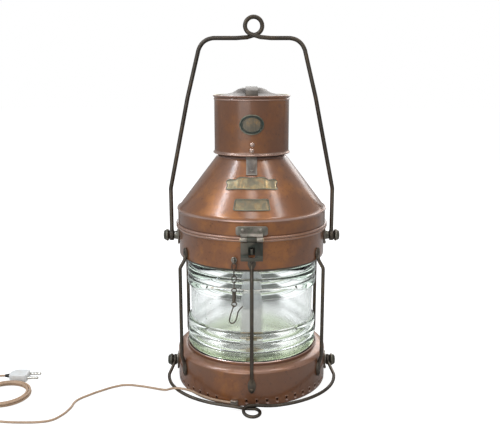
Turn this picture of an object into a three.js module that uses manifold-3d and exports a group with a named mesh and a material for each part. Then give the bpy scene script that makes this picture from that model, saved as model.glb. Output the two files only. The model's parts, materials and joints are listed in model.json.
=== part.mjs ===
// Anchor-type navigation lantern in copper and bronze, converted to electric light.
// Millimetres, +Z up, front of the lantern towards -Y, origin under the middle of the base.
import * as THREE from 'three';
import { mergeVertices } from 'three/addons/utils/BufferGeometryUtils.js';
import Module from 'manifold-3d';

const wasm = await Module();
wasm.setup();

// Driving dimensions of the whole lantern
const gap = 0.3;              // running gap between two pieces that seat on each other
const sheet = 1.6;            // thickness of the copper sheet
const overrun = 5;            // how far a cutter passes the piece that it cuts
const roundSteps = 32;        // facets round the hood, the collar and the glass
const pipeSteps = 24;         // facets round the chimney, the flue and the gaskets
const smallSteps = 12;        // facets round knobs, pins and sockets
const lampSteps = 18;         // facets round the lamp and its holder
const rivetSteps = 6;         // facets round a rivet's head
const rivetRadius = 3.1;
const rivetRise = 1.4;

// Base
const baseRadius = 120;
const baseBandTop = 51;
const baseFootInset = 1.6;
const baseFootRadius = baseRadius - baseFootInset;
const baseFootRise = 3;
const shoulderRise = 9;
const shoulderWidth = 14.6;
const seatTop = baseBandTop + shoulderRise;
const seatLip = 4.5;
const seatLipRadius = baseRadius - shoulderWidth;
const ledgeWidth = 19.4;
const seatInner = seatLipRadius - ledgeWidth;
const plateThick = 1.6;
const ventRadius = 1.8;
const ventCount = 48;         // air holes, one in each facet of the base
const ventHeight = 9.5;
const floorSheet = 1;
const floorTop = seatTop + gap + floorSheet;

// Glass, standing inside the base's lip on a gasket
const lipClearance = 0.4;
const ribDepth = 4.4;
const barrelInset = 5.4;
const glassWall = 6.5;
const glassTall = 158.4;
const gasketThick = 2;
const ribRadius = seatLipRadius - sheet - lipClearance;
const ribNotch = ribRadius - ribDepth;
const barrelRadius = ribRadius - barrelInset;
const glassBore = barrelRadius - glassWall;
const gasketTop = seatTop + gap + gasketThick;
const glassFoot = gasketTop + gap;
const glassTop = glassFoot + glassTall;
const lowerRibRise = 1;
const lowerRibs = [13.7, 14.4, 15.9];       // heights of the ribs, from the foot up
const upperRibDrop = 12;
const upperRibs = [15.5, 16, 16.5];         // heights of the ribs, from the top down
const stacked = (from, heights, way) =>
  heights.reduce((ends, height) => [...ends, ends[ends.length - 1] + way * height], [from]);
const lowerRibEnds = stacked(glassFoot + lowerRibRise, lowerRibs, 1);
const upperRibEnds = stacked(glassTop - upperRibDrop, upperRibs, -1).reverse();

// Collar, round the top of the glass
const mouthClearance = 1.6;
const collarLipWidth = 10;
const collarOverlap = 12.5;
const collarTall = 50.7;
const collarCorner = 5.6;
const collarMouth = ribRadius + mouthClearance;
const collarRadius = collarMouth + collarLipWidth;
const collarBottom = glassTop - collarOverlap;
const collarTop = collarBottom + collarTall;
const shelfHeight = glassTop + gap * 2 + gasketThick;

// Hood, its bead lapping over the collar's top edge
const beadProud = 4.5;
const beadLap = 4.6;
const beadRise = 3.2;
const skirtProud = 1.4;
const skirtTall = 22.6;
const skirtTaper = 0.7;
const coneTall = 81;
const beadRadius = collarRadius + beadProud;
const beadBottom = collarTop - beadLap;
const beadTop = collarTop + beadRise;
const skirtRadius = collarRadius + skirtProud;
const coneFoot = beadTop + skirtTall;
const coneFootRadius = skirtRadius - skirtTaper;
const coneTop = coneFoot + coneTall;

// Flue, hanging from the cone's top and standing up into the chimney
const flueRadius = 47;
const flueSeatWidth = 7;
const flueDrop = 28;
const flueRise = 26;
const flueFlangeInset = 0.8;
const coneTopRadius = flueRadius + flueSeatWidth;
const flueFoot = coneTop - flueDrop;
const flueTop = coneTop + flueRise;
const flueFlange = coneTopRadius - flueFlangeInset;

// Chimney, standing clear of the cone on three brackets
const chimneyOverhang = 3.6;
const chimneyLift = 5.5;
const chimneyTall = 87.3;
const chimneyWall = 1.5;
const chimneyBeadProud = 2;
const chimneyBeadHeight = 3;
const chimneyRadius = coneTopRadius + chimneyOverhang;
const chimneyFoot = coneTop + chimneyLift;
const chimneyTop = chimneyFoot + chimneyTall;
const chimneyBead = chimneyRadius + chimneyBeadProud;
const lidSink = 3.3;
const lidRadius = chimneyRadius - chimneyWall - gap;
const lidFoot = chimneyTop - lidSink;
const lidRise = 12.6;
const lidSpread = 36;
const lidCrown = 13;
const lidStrapWidth = 18;
const lidStrapThick = 1.4;
const lidStrapInset = 1.6;
const lidStrapStand = 7.7;
const bracketThick = 1.5;
const bracketWidth = 16;
const bracketLap = 24.5;
const bracketDrop = 21.5;
const bracketTop = chimneyFoot + bracketLap;
const bracketFoot = coneTop - bracketDrop;
const bracketCount = 3;

// Bare plates on the hood and the chimney
const plateRise = 1.2;
const ovalWide = 36.5;
const ovalTall = 30;
const ovalLift = 45.5;
const ovalHeight = chimneyFoot + ovalLift;
const scrollWide = 81;
const scrollTall = 19.2;
const scrollGap = 1.9;
const scrollHeight = bracketFoot - scrollGap - scrollTall / 2;
const labelWide = 51.5;
const labelTall = 15.2;
const labelGap = 10.2;
const labelHeight = scrollHeight - labelGap - (scrollTall + labelTall) / 2;

// Studs that the bails turn on
const upperStudDrop = 21.8;
const upperStudHeight = collarTop - upperStudDrop;
const lowerStudHeight = 24;
const studPin = 3.9;
const studNeck = 2.8;
const knobRadius = 9.6;
const knobDepth = 9;
const earPlateWide = 24;
const earPlateTall = 26;
const earPlateThick = 2;
const earCorner = 5;
const earBoss = 7;
const bailEye = 8.8;

// Top bail
const topBailWire = 6.5;
const topBailProud = 12.6;
const topBailUpright = 75.6;
const topBailShoulderIn = 29;
const topBailShoulderRise = 216.6;
const topBailCornerIn = 22.2;
const topBailHeadroom = 84.2;
const topBailBendRadius = 24;
const topBailLeg = collarRadius + topBailProud;
const topBailBend = upperStudHeight + topBailUpright;
const topBailShoulder = topBailLeg - topBailShoulderIn;
const topBailShoulderHeight = upperStudHeight + topBailShoulderRise;
const topBailCorner = topBailShoulder - topBailCornerIn;
const topBailBar = chimneyTop + topBailHeadroom;
const eyeRadius = 13.1;
const eyeLift = 18;
const eyeCentre = topBailBar + eyeLift;
const eyeOffset = 3;

// Lower bail
const lowerBailWire = 5;
const lowerBailProud = 6.6;
const lowerBailFlare = 5.4;
const lowerBailNose = 1;
const lowerBailLeg = baseRadius + lowerBailProud;
const lowerBailSpread = lowerBailLeg + lowerBailFlare;
const lowerBailStraight = 45;
const lowerBailReach = lowerBailSpread + lowerBailNose;
const lowerEyeRadius = 12.3;

// Latch on the front, its sizes measured from the pin
const latchPinRise = 5;
const latchKnuckle = 3.8;
const latchPin = 1.7;
const latchWidth = 32;
const latchPlateWidth = 46;
const latchPlateRise = 4.9;
const latchPlateTall = 13.5;
const latchSheet = 1.6;
const latchRivetX = 13;
const latchRivetDrop = 5.4;
const knuckleShare = 0.45;    // middle knuckle's part of a hinge's width
const haspDrop = 30.6;
const haspCrank = 3.4;
const haspCrankDrop = 23.1;
const haspCheek = 4.2;
const slotWidth = 9.4;
const slotDrop = 11;
const slotTall = 14.7;
const stapleTopRoom = 2.2;
const stapleFootRoom = 4.1;
const stapleThick = 3;
const stapleProud = 1.8;
const staplePlateWide = 20;
const staplePlateTall = 14.3;
const latchPinY = -(beadRadius + gap * 2 + latchKnuckle);
const latchPinHeight = beadBottom + latchPinRise;
const latchPlateFoot = latchPinHeight + latchPlateRise;
const latchPlateTop = latchPlateFoot + latchPlateTall;
const latchRivetHeight = latchPlateTop - latchRivetDrop;
const haspFoot = latchPinHeight - haspDrop;
const haspCrankTop = latchPinHeight - haspCrankDrop;
const slotTop = latchPinHeight - slotDrop;
const slotFoot = slotTop - slotTall;
const stapleTop = slotTop - stapleTopRoom;
const stapleFoot = slotFoot + stapleFootRoom;
const stapleReach = stapleProud - latchPinY;
const stapleHeight = (stapleTop + stapleFoot) / 2;
const staplePlateFoot = stapleHeight - staplePlateTall / 2;

// Guard rods
const guardCount = 6;
const guardProud = 6;
const guardRadius = baseRadius + guardProud;
const guardWire = 5.6;
const guardTopDrop = 2.5;
const guardFootDrop = 3;
const guardTop = collarBottom - guardTopDrop;
const guardFoot = seatTop - guardFootDrop;
const guardPad = 2.2;
const guardPadWidth = 12;
const guardUpperPadLift = 4;
const guardPadClearance = 4;
const guardLowerPadTall = 25;
const guardRivetRise = 5;
const guardUpperPadFoot = collarBottom + guardUpperPadLift;
const guardUpperPadTop = staplePlateFoot - guardPadClearance;
const guardLowerPadTop = baseBandTop - guardFootDrop;
const guardLowerPadFoot = guardLowerPadTop - guardLowerPadTall;
const guardRivetHeight = guardLowerPadFoot + guardRivetRise;

// Rear hinge, its sizes measured from the pin
const rearPinRise = 2.4;
const rearKnuckle = 4;
const rearPin = 2;
const rearWidth = 40;
const rearLeafSheet = 2;
const rearLeafClearance = 3;
const rearLeafRise = 24;
const rearPinY = beadRadius + gap * 2 + rearKnuckle;
const rearPinHeight = beadBottom + rearPinRise;
const rearLeafFoot = guardUpperPadTop + rearLeafClearance;
const rearLeafTop = rearPinHeight + rearLeafRise;

// Chain and hook
const chainX = -25.5;
const chainEyeRadius = 4.5;
const chainEyeBite = 0.34;
const hookWire = 1.8;
const chainWallY = -Math.sqrt(collarRadius ** 2 - chainX ** 2) - gap * 2;
const chainY = chainWallY - latchSheet - hookWire / 2 - chainEyeRadius + chainEyeBite;
const chainWire = 1.6;
const linkLong = 13;
const linkWide = 8;
const linkCount = 4;
const chainEyeLift = 18.7;
const chainEyeHeight = collarBottom + chainEyeLift;
const wrapRadius = 3;
const wrapLong = 15;
const wrapTurns = 4;
const chainFoot = 4.6;
const hookEye = 3.4;
const hookWide = 20;
const hookDrop = 26;

// Lamp inside the glass
const stemRadius = 9;
const stemTall = 14.7;
const holderRadius = 18;
const holderTall = 42;
const bulbRadius = 16.5;
const bulbTall = 87;
const stemTop = floorTop + stemTall;
const holderTop = stemTop + holderTall;
const bulbTop = holderTop + bulbTall;

// Cord and plug
const cordDiameter = 3.5;
const cordFollows = 150;      // out to this radius the lead follows a change of the base's radius
const cordFree = 225;         // and beyond this one it stays where it lies
const cordDrawnRadius = 120;  // radius of the base that its points were chosen round
const glandAngle = -12.2;     // degrees round from the front, to the left
const glandHeight = 7;
const glandLong = 11;
const glandTall = 8;
const cordRest = 1.8;         // height of the cord's middle where it lies on the floor
const cordBend = 19.4;
const coilX = -385;
const coilY = -84;
const coilRadius = 41;
const coilPitch = 4.1;
const coilLoops = 4;
const coilSteps = 24;
const plugX = -380;
const plugY = -26;
const plugLong = 31;
const plugWide = 24;
const plugThick = 13;
const plugNose = 12;
const reliefLong = 7;
const pinLong = 18;
const pinRadius = 2.1;
const pinSpread = 16;

const deg = Math.PI / 180;

// Geometry helpers: every piece is one closed body facing out
function cleaned(geometry) {
  const g = geometry.clone();
  g.deleteAttribute('normal');
  g.deleteAttribute('uv');
  const merged = mergeVertices(g, 1e-4);
  const index = merged.index.array;
  const kept = [];
  for (let i = 0; i < index.length; i += 3) {
    const [a, b, c] = [index[i], index[i + 1], index[i + 2]];
    if (a !== b && b !== c && c !== a) kept.push(a, b, c);
  }
  if (signedVolume(merged.attributes.position, kept) < 0) {
    for (let i = 0; i < kept.length; i += 3) [kept[i], kept[i + 1]] = [kept[i + 1], kept[i]];
  }
  merged.setIndex(kept);
  return merged;
}

function signedVolume(position, index) {
  const [a, b, c] = [new THREE.Vector3(), new THREE.Vector3(), new THREE.Vector3()];
  let sum = 0;
  for (let i = 0; i < index.length; i += 3) {
    a.fromBufferAttribute(position, index[i]);
    b.fromBufferAttribute(position, index[i + 1]);
    c.fromBufferAttribute(position, index[i + 2]);
    sum += a.dot(b.cross(c));
  }
  return sum;
}

function solid(geometry) {
  const g = cleaned(geometry);
  return new wasm.Manifold(new wasm.Mesh({
    numProp: 3,
    vertProperties: new Float32Array(g.attributes.position.array),
    triVerts: new Uint32Array(g.index.array),
  }));
}

function geometryOf(manifold) {
  const m = manifold.getMesh();
  const g = new THREE.BufferGeometry();
  g.setAttribute('position', new THREE.BufferAttribute(new Float32Array(m.vertProperties), 3));
  g.setIndex(Array.from(m.triVerts));
  return g;
}

function joined(...geometries) {
  return geometryOf(geometries.map(solid).reduce((all, next) => all.add(next)));
}

function cut(geometry, ...tools) {
  return geometryOf(tools.map(solid).reduce((body, tool) => body.subtract(tool), solid(geometry)));
}

function common(geometry, other) {
  return geometryOf(solid(geometry).intersect(solid(other)));
}

// A profile of [radius, height] pairs turned about the Z axis
function turned(profile, steps = roundSteps) {
  const points = profile.map(([r, z]) => new THREE.Vector2(r, z));
  return new THREE.LatheGeometry(points, steps).rotateX(Math.PI / 2);
}

function ring(inner, outer, low, high, steps = roundSteps) {
  return turned([[inner, low], [outer, low], [outer, high], [inner, high], [inner, low]], steps);
}

function rod(radius, low, high, steps = smallSteps) {
  return turned([[0, low], [radius, low], [radius, high], [0, high]], steps);
}

// A turned piece laid along X, from x = low to x = high at a place
const alongX = (geometry, y, z) => geometry.rotateY(Math.PI / 2).translate(0, y, z);

// Rivet head standing on the plane y = face, pointing to the front
function rivetFront(x, face, z) {
  const head = turned([
    [0, 0], [rivetRadius, 0], [rivetRadius * 0.82, rivetRise * 0.62], [0, rivetRise],
  ], rivetSteps);
  return head.rotateX(Math.PI / 2).translate(x, face, z);
}

// An outline in the XZ plane, given depth towards the front from y = face
function frontPlate(shape, face, depth) {
  const g = new THREE.ExtrudeGeometry(shape, { depth, bevelEnabled: false });
  return g.rotateX(Math.PI / 2).translate(0, face, 0);
}

// An outline drawn in (y, z), extruded across X about x = middle
function crossPlate(shape, width, middle = 0) {
  const g = new THREE.ExtrudeGeometry(shape, { depth: width, bevelEnabled: false });
  const turn = new THREE.Matrix4().makeBasis(
    new THREE.Vector3(0, 1, 0), new THREE.Vector3(0, 0, 1), new THREE.Vector3(1, 0, 0));
  return g.applyMatrix4(turn).translate(middle - width / 2, 0, 0);
}

function roundedBox(width, height, corner, x = 0, y = 0, cornerSteps = 2) {
  const s = new THREE.Shape();
  const [w, h] = [width / 2, height / 2];
  s.absarc(x + w - corner, y - h + corner, corner, -Math.PI / 2, 0);
  s.absarc(x + w - corner, y + h - corner, corner, 0, Math.PI / 2);
  s.absarc(x - w + corner, y + h - corner, corner, Math.PI / 2, Math.PI);
  s.absarc(x - w + corner, y - h + corner, corner, Math.PI, Math.PI * 1.5);
  return new THREE.Shape(s.getPoints(cornerSteps));
}

// A bent strip seen from its edge: the line's points, thickened to both sides
function stripShape(line, thick) {
  const points = line.map(([a, b]) => new THREE.Vector2(a, b));
  const left = [];
  const right = [];
  points.forEach((p, i) => {
    const before = points[Math.max(i - 1, 0)];
    const after = points[Math.min(i + 1, points.length - 1)];
    const d1 = (i > 0 ? p.clone().sub(before) : after.clone().sub(p)).normalize();
    const d2 = (i < points.length - 1 ? after.clone().sub(p) : p.clone().sub(before)).normalize();
    const n = new THREE.Vector2(-d1.y - d2.y, d1.x + d2.x).normalize();
    const reach = thick / 2 / Math.max(n.dot(new THREE.Vector2(-d1.y, d1.x)), 0.3);
    left.push(p.clone().addScaledVector(n, reach));
    right.push(p.clone().addScaledVector(n, -reach));
  });
  return new THREE.Shape([...left, ...right.reverse()]);
}

// Wire along exact points: a ring of the section stands on each point
class WirePath extends THREE.Curve {
  constructor(points) {
    super();
    this.points = points;
  }

  getPoint(t) {
    const last = this.points.length - 1;
    const i = Math.min(Math.floor(t * last), last - 1);
    return this.points[i].clone().lerp(this.points[i + 1], t * last - i);
  }

  getTangent(t) {
    const last = this.points.length - 1;
    const i = Math.round(t * last);
    const before = this.points[Math.max(i - 1, 0)];
    const here = this.points[i];
    const after = this.points[Math.min(i + 1, last)];
    const into = (i > 0 ? here.clone().sub(before) : after.clone().sub(here)).normalize();
    const out = (i < last ? after.clone().sub(here) : here.clone().sub(before)).normalize();
    return into.add(out).normalize();
  }

  getPointAt(u) {
    return this.getPoint(u);
  }

  getTangentAt(u) {
    return this.getTangent(u);
  }
}

function section(diameter, sides) {
  const points = [];
  for (let i = 0; i < sides; i++) {
    const a = (i + 0.5) / sides * 2 * Math.PI;
    points.push(new THREE.Vector2(Math.cos(a), Math.sin(a)).multiplyScalar(diameter / 2));
  }
  return new THREE.Shape(points);
}

function wire(points, diameter, sides = 8) {
  return new THREE.ExtrudeGeometry(section(diameter, sides), {
    steps: points.length - 1,
    extrudePath: new WirePath(points),
    bevelEnabled: false,
  });
}

// Corner points turned into arcs of one bend radius
function bent(corners, radius, stepAngle = 20) {
  const out = [corners[0].clone()];
  for (let i = 1; i < corners.length - 1; i++) {
    const into = corners[i].clone().sub(corners[i - 1]).normalize();
    const away = corners[i + 1].clone().sub(corners[i]).normalize();
    const turn = into.angleTo(away);
    const back = radius * Math.tan(turn / 2);
    const normal = away.clone().sub(into).normalize();
    const centre = corners[i].clone().addScaledVector(normal, radius / Math.cos(turn / 2));
    const start = corners[i].clone().addScaledVector(into, -back).sub(centre);
    const axis = into.clone().cross(away).normalize();
    const steps = Math.max(1, Math.ceil(turn / deg / stepAngle));
    for (let k = 0; k <= steps; k++) {
      out.push(start.clone().applyAxisAngle(axis, turn * k / steps).add(centre));
    }
  }
  out.push(corners[corners.length - 1].clone());
  return out;
}

const group = new THREE.Group();

function piece(name, geometry, finish, turnAngle = 0) {
  const material = new THREE.MeshStandardMaterial(finish);
  const mesh = new THREE.Mesh(cleaned(geometry), material);
  mesh.name = name;
  mesh.rotation.z = turnAngle * deg;
  group.add(mesh);
  return mesh;
}

// Finishes
const copper = { color: 0x8a5440, roughness: 0.42, metalness: 0.9 };
const bronze = { color: 0x55503f, roughness: 0.55, metalness: 0.8 };
const brass = { color: 0x9a8a5a, roughness: 0.45, metalness: 0.85 };
const verdigris = { color: 0x6c7462, roughness: 0.6, metalness: 0.6 };
const pewter = { color: 0x9a9a92, roughness: 0.5, metalness: 0.8 };
const tinned = { color: 0xd8d8d4, roughness: 0.25, metalness: 0.9 };
const glass = { color: 0xdcebe2, roughness: 0.05, metalness: 0 };
const rubber = { color: 0x3a3a36, roughness: 0.8, metalness: 0 };
const porcelain = { color: 0xf0eee6, roughness: 0.3, metalness: 0 };
const cordSkin = { color: 0x9c6a48, roughness: 0.6, metalness: 0 };
const plugWhite = { color: 0xf2f2ee, roughness: 0.4, metalness: 0 };

// Base: a spun copper drum with a rolled foot, a row of air holes and a seat for the glass
function baseShell() {
  const inside = baseRadius - sheet;
  const shoulder = [];
  for (let i = 0; i <= 3; i++) {
    const a = i / 3 * Math.PI / 2;
    shoulder.push([
      seatLipRadius + (baseRadius - seatLipRadius) * Math.cos(a),
      baseBandTop + (seatTop - baseBandTop) * Math.sin(a),
    ]);
  }
  const lipInner = seatLipRadius - sheet;
  const drum = turned([
    [baseFootRadius, 0], [baseRadius, baseFootRise], ...shoulder,
    [seatLipRadius, seatTop + seatLip], [lipInner, seatTop + seatLip],
    [lipInner, seatTop], [seatInner, seatTop], [seatInner, seatTop - sheet],
    [lipInner, seatTop - sheet], [inside, baseBandTop], [inside, baseFootRise],
    [baseFootRadius - sheet, 0], [baseFootRadius, 0],
  ], ventCount);
  const pitch = 360 / ventCount;
  const holes = [];
  for (let i = 0; i < ventCount; i++) {
    const angle = (i + 0.5) * pitch;
    if (Math.abs(angle - 360 - glandAngle) < pitch) continue;
    const hole = rod(ventRadius, -sheet * 2, sheet, 4).rotateX(Math.PI / 2);
    holes.push(hole.translate(0, -baseRadius, ventHeight).rotateZ(angle * deg));
  }
  return cut(drum, ...holes);
}

// Glass: a barrel with three round ribs below and three above
function lensProfile() {
  const profile = [[glassBore, glassFoot], [ribNotch, glassFoot]];
  const ribs = (ends) => {
    for (let i = 0; i < ends.length - 1; i++) {
      const [low, high] = [ends[i], ends[i + 1]];
      for (let k = 0; k <= 4; k++) {
        const a = k / 4 * Math.PI;
        const z = (low + high) / 2 - (high - low) / 2 * Math.cos(a);
        const radius = ribNotch + (ribRadius - ribNotch) * Math.sin(a);
        if (k < 4 || i === ends.length - 2) profile.push([radius, z]);
      }
    }
  };
  ribs(lowerRibEnds);
  profile.push([barrelRadius, lowerRibEnds[3] + ribRadius - ribNotch]);
  profile.push([barrelRadius, upperRibEnds[0] - ribRadius + ribNotch]);
  ribs(upperRibEnds);
  profile.push([ribNotch, glassTop], [glassBore, glassTop], profile[0]);
  return profile;
}

// Collar: the drum that clamps the glass and carries the studs, hinge and latch
function collarShell() {
  const inside = collarRadius - sheet;
  const corner = [];
  for (let i = 0; i <= 3; i++) {
    const a = i / 3 * Math.PI / 2;
    corner.push([
      collarRadius - collarCorner + collarCorner * Math.sin(a),
      collarBottom + collarCorner - collarCorner * Math.cos(a),
    ]);
  }
  return turned([
    [collarMouth, collarBottom], ...corner, [collarRadius, collarTop], [inside, collarTop],
    [inside, shelfHeight + sheet], [glassBore, shelfHeight + sheet],
    [glassBore, shelfHeight], [inside, shelfHeight],
    [inside, collarBottom + collarCorner], [collarRadius - collarCorner, collarBottom + sheet],
    [collarMouth, collarBottom + sheet], [collarMouth, collarBottom],
  ]);
}

// Guard rod: wire with a flattened, riveted pad at each end
function guardRod() {
  const upperFace = -collarRadius - gap;
  const lowerFace = -baseRadius - gap;
  const pad = (face, foot, top) => {
    const outline = roundedBox(guardPadWidth, top - foot, guardPadWidth * 0.35, 0, (top + foot) / 2, 1);
    return frontPlate(outline, face, guardPad);
  };
  const corners = [
    new THREE.Vector3(0, upperFace - guardPad / 2 - guardWire / 4, guardUpperPadFoot + guardWire),
    new THREE.Vector3(0, upperFace - guardPad / 2 - guardWire / 4, guardUpperPadFoot),
    new THREE.Vector3(0, -guardRadius, guardTop - guardWire),
    new THREE.Vector3(0, -guardRadius, guardFoot),
    new THREE.Vector3(0, lowerFace - guardWire / 2, guardLowerPadTop),
    new THREE.Vector3(0, lowerFace - guardWire / 2, guardLowerPadTop - guardWire),
  ];
  return joined(
    wire(bent(corners, guardWire, 45), guardWire, 6),
    pad(upperFace, guardUpperPadFoot, guardUpperPadTop),
    pad(lowerFace, guardLowerPadFoot, guardLowerPadTop),
    rivetFront(0, upperFace - guardPad, guardUpperPadTop - guardPadWidth / 2),
    rivetFront(0, lowerFace - guardPad, guardRivetHeight),
  );
}

// Ear: a riveted plate with a boss and the stud that a bail turns on, made for the +X side
function bailEar(wall, height, eyeMiddle, eyeThick) {
  const face = wall + gap;
  const plate = frontPlate(roundedBox(earPlateWide, earPlateTall, earCorner), 0, earPlateThick)
    .rotateZ(Math.PI / 2).translate(face, 0, height);
  const bossEnd = eyeMiddle - eyeThick / 2 - gap;
  const pinEnd = eyeMiddle + eyeThick / 2 + gap;
  const stud = alongX(turned([
    [0, face], [earBoss, face], [earBoss - gap, bossEnd], [studPin, bossEnd],
    [studPin, pinEnd], [studNeck, pinEnd], [studNeck, pinEnd + knobDepth / 2], [0, pinEnd + knobDepth / 2],
  ], smallSteps), 0, height);
  const across = earPlateWide / 2 - rivetRadius;
  const up = earPlateTall / 2 - rivetRadius;
  const rivets = [-1, 1].map((side) => rivetFront(0, 0, 0).rotateZ(Math.PI / 2)
    .scale(0.6, 0.8, 0.8)
    .translate(face + earPlateThick, side * across, height + side * up));
  return joined(plate, stud, ...rivets);
}

// Knob on the stud's end, domed, with a blind bore
function bailKnob(height, eyeMiddle, eyeThick) {
  const start = eyeMiddle + eyeThick / 2 + 2 * gap;
  const bore = studNeck + gap;
  const depth = knobDepth / 2 + gap;
  const knob = turned([
    [bore, start], [knobRadius * 0.72, start], [knobRadius, start + knobDepth * 0.28],
    [knobRadius * 0.94, start + knobDepth * 0.6], [knobRadius * 0.6, start + knobDepth * 0.9],
    [0, start + knobDepth], [0, start + depth], [bore, start + depth], [bore, start],
  ], smallSteps);
  return alongX(knob, 0, height);
}

// Eye at the end of a bail's leg, round the stud
function legEye(x, height, thick) {
  return alongX(ring(studPin + gap, bailEye, x - thick / 2, x + thick / 2, smallSteps), 0, height);
}

// Top bail: two legs, a bar and one crossed loop in the middle of it
function topBail() {
  const side = (s) => [
    new THREE.Vector3(s * topBailLeg, 0, upperStudHeight + bailEye - topBailWire / 4),
    new THREE.Vector3(s * topBailLeg, 0, topBailBend),
    new THREE.Vector3(s * topBailShoulder, 0, topBailShoulderHeight),
    new THREE.Vector3(s * topBailCorner, 0, topBailBar),
  ];
  const lift = topBailWire / 2 + gap;
  const loop = [];
  const [from, to] = [-68, 248];
  for (let i = 0; i <= 16; i++) {
    const a = (from + (to - from) * i / 16) * deg;
    loop.push(new THREE.Vector3(
      eyeOffset + eyeRadius * Math.cos(a),
      lift - 2 * lift * i / 16,
      eyeCentre + eyeRadius * Math.sin(a)));
  }
  const run = eyeRadius * 2;
  const [leftHalf, rightHalf] = [-1, 1].map((s) =>
    bent([...side(s), new THREE.Vector3(eyeOffset + s * run, 0, topBailBar)], topBailBendRadius, 22));
  const entry = new THREE.Vector3(eyeOffset - eyeRadius * 0.75, lift, topBailBar + topBailWire * 0.2);
  const exit = new THREE.Vector3(eyeOffset + eyeRadius * 0.75, -lift, topBailBar + topBailWire * 0.2);
  const path = [...leftHalf, entry, ...loop, exit, ...rightHalf.reverse()];
  return joined(
    wire(path, topBailWire),
    legEye(-topBailLeg, upperStudHeight, topBailWire),
    legEye(topBailLeg, upperStudHeight, topBailWire),
  );
}

// Lower bail, drawn level to the front of its studs, then dropped until its eye meets the floor
function lowerBail() {
  const half = (s) => {
    const points = [new THREE.Vector3(s * lowerBailLeg, -bailEye + lowerBailWire / 4, 0)];
    for (let i = 0; i <= 8; i++) {
      const a = (90 - i * 10) * deg;
      points.push(new THREE.Vector3(
        s * lowerBailSpread * Math.sin(a),
        -lowerBailStraight - (lowerBailReach - lowerBailStraight) * Math.cos(a), 0));
    }
    return points;
  };
  const lift = lowerBailWire / 2 + gap;
  const middle = -lowerBailReach - lowerEyeRadius * 0.95;
  const loop = [];
  const [from, to] = [-66, 246];
  for (let i = 0; i <= 14; i++) {
    const a = (from + (to - from) * i / 14) * deg;
    loop.push(new THREE.Vector3(
      lowerEyeRadius * Math.cos(a),
      middle - lowerEyeRadius * Math.sin(a),
      -lift + 2 * lift * i / 14));
  }
  const entry = new THREE.Vector3(-lowerEyeRadius * 0.8, -lowerBailReach, -lift);
  const exit = new THREE.Vector3(lowerEyeRadius * 0.8, -lowerBailReach, lift);
  const path = [...half(-1), entry, ...loop, exit, ...half(1).reverse()];
  const bail = joined(
    wire(path, lowerBailWire),
    legEye(-lowerBailLeg, 0, lowerBailWire),
    legEye(lowerBailLeg, 0, lowerBailWire),
  );
  const reach = lowerEyeRadius - middle;
  const drop = Math.asin((lowerStudHeight - lowerBailWire / 2 - lift / 6) / reach);
  return bail.rotateX(drop).translate(0, 0, lowerStudHeight);
}

// Hood: bead, skirt and cone in one shell, open at the top
function hoodShell() {
  const lipInner = collarRadius + gap + sheet / 3;
  const rest = collarTop + gap;
  const inside = skirtRadius - sheet - gap;
  const coneIn = sheet * 1.26;
  return turned([
    [lipInner, beadBottom], [beadRadius - sheet, beadBottom], [beadRadius, beadBottom + sheet],
    [beadRadius, beadTop - sheet], [skirtRadius, beadTop], [skirtRadius, coneFoot - sheet],
    [coneFootRadius, coneFoot], [coneTopRadius, coneTop], [coneTopRadius - sheet, coneTop],
    [coneTopRadius - sheet, coneTop - sheet], [coneFootRadius - coneIn, coneFoot - gap],
    [inside, coneFoot - sheet], [inside, rest], [lipInner, rest], [lipInner, beadBottom],
  ]);
}

const coneAt = (z) => coneFootRadius + (coneTopRadius - coneFootRadius) * (z - coneFoot) / coneTall;

// Flue: the inner smoke pipe with a flange on the cone's top
function flueProfile() {
  const wall = sheet * 0.75;
  return [
    [flueRadius - wall, flueFoot], [flueRadius, flueFoot], [flueRadius, coneTop + gap],
    [flueFlange, coneTop + gap], [flueFlange, coneTop + gap + wall], [flueRadius, coneTop + gap + wall],
    [flueRadius, flueTop], [flueRadius - wall, flueTop], [flueRadius - wall, flueFoot],
  ];
}

// Chimney: the cylinder over the flue, with a bead at both ends
function chimneyProfile() {
  const inside = chimneyRadius - chimneyWall;
  return [
    [inside, chimneyFoot], [chimneyRadius, chimneyFoot - chimneyBeadHeight / 2],
    [chimneyBead, chimneyFoot], [chimneyBead, chimneyFoot + chimneyBeadHeight / 2],
    [chimneyRadius, chimneyFoot + chimneyBeadHeight],
    [chimneyRadius, chimneyTop - chimneyBeadHeight * 1.4],
    [chimneyBead, chimneyTop - chimneyBeadHeight], [chimneyBead, chimneyTop],
    [inside, chimneyTop], [inside, chimneyFoot],
  ];
}

// Lid: a low dome sunk inside the chimney's rim
const lidUnder = [
  [0, lidFoot + lidRise], [lidCrown, lidFoot + lidRise], [lidSpread, lidFoot + lidRise * 0.28],
  [lidRadius, lidFoot],
];
const lidUpper = lidUnder.map(([radius, z]) => [radius, z + chimneyWall]);

// Height of the lid's skirt, outside its spread, at a distance from the middle
function lidHeightAt(radius) {
  const [[, high], [, low]] = lidUpper.slice(2);
  return high + (low - high) * (radius - lidSpread) / (lidRadius - lidSpread);
}

function lidProfile() {
  return [...lidUnder, ...[...lidUpper].reverse()];
}

// Strap: a bridge over the lid's crown, its ends folded down to stand inside the chimney's rim
function lidStrap() {
  const half = lidStrapThick / 2;
  const high = lidFoot + lidRise + chimneyWall + gap + half;
  const end = lidRadius - lidStrapInset - half;
  const corner = chimneyTop + lidStrapStand - half;
  const foot = lidHeightAt(end - half) + gap;
  const line = [
    [-end, foot], [-end, corner], [-lidCrown, high], [lidCrown, high], [end, corner], [end, foot],
  ];
  return crossPlate(stripShape(line, lidStrapThick), lidStrapWidth);
}

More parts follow.
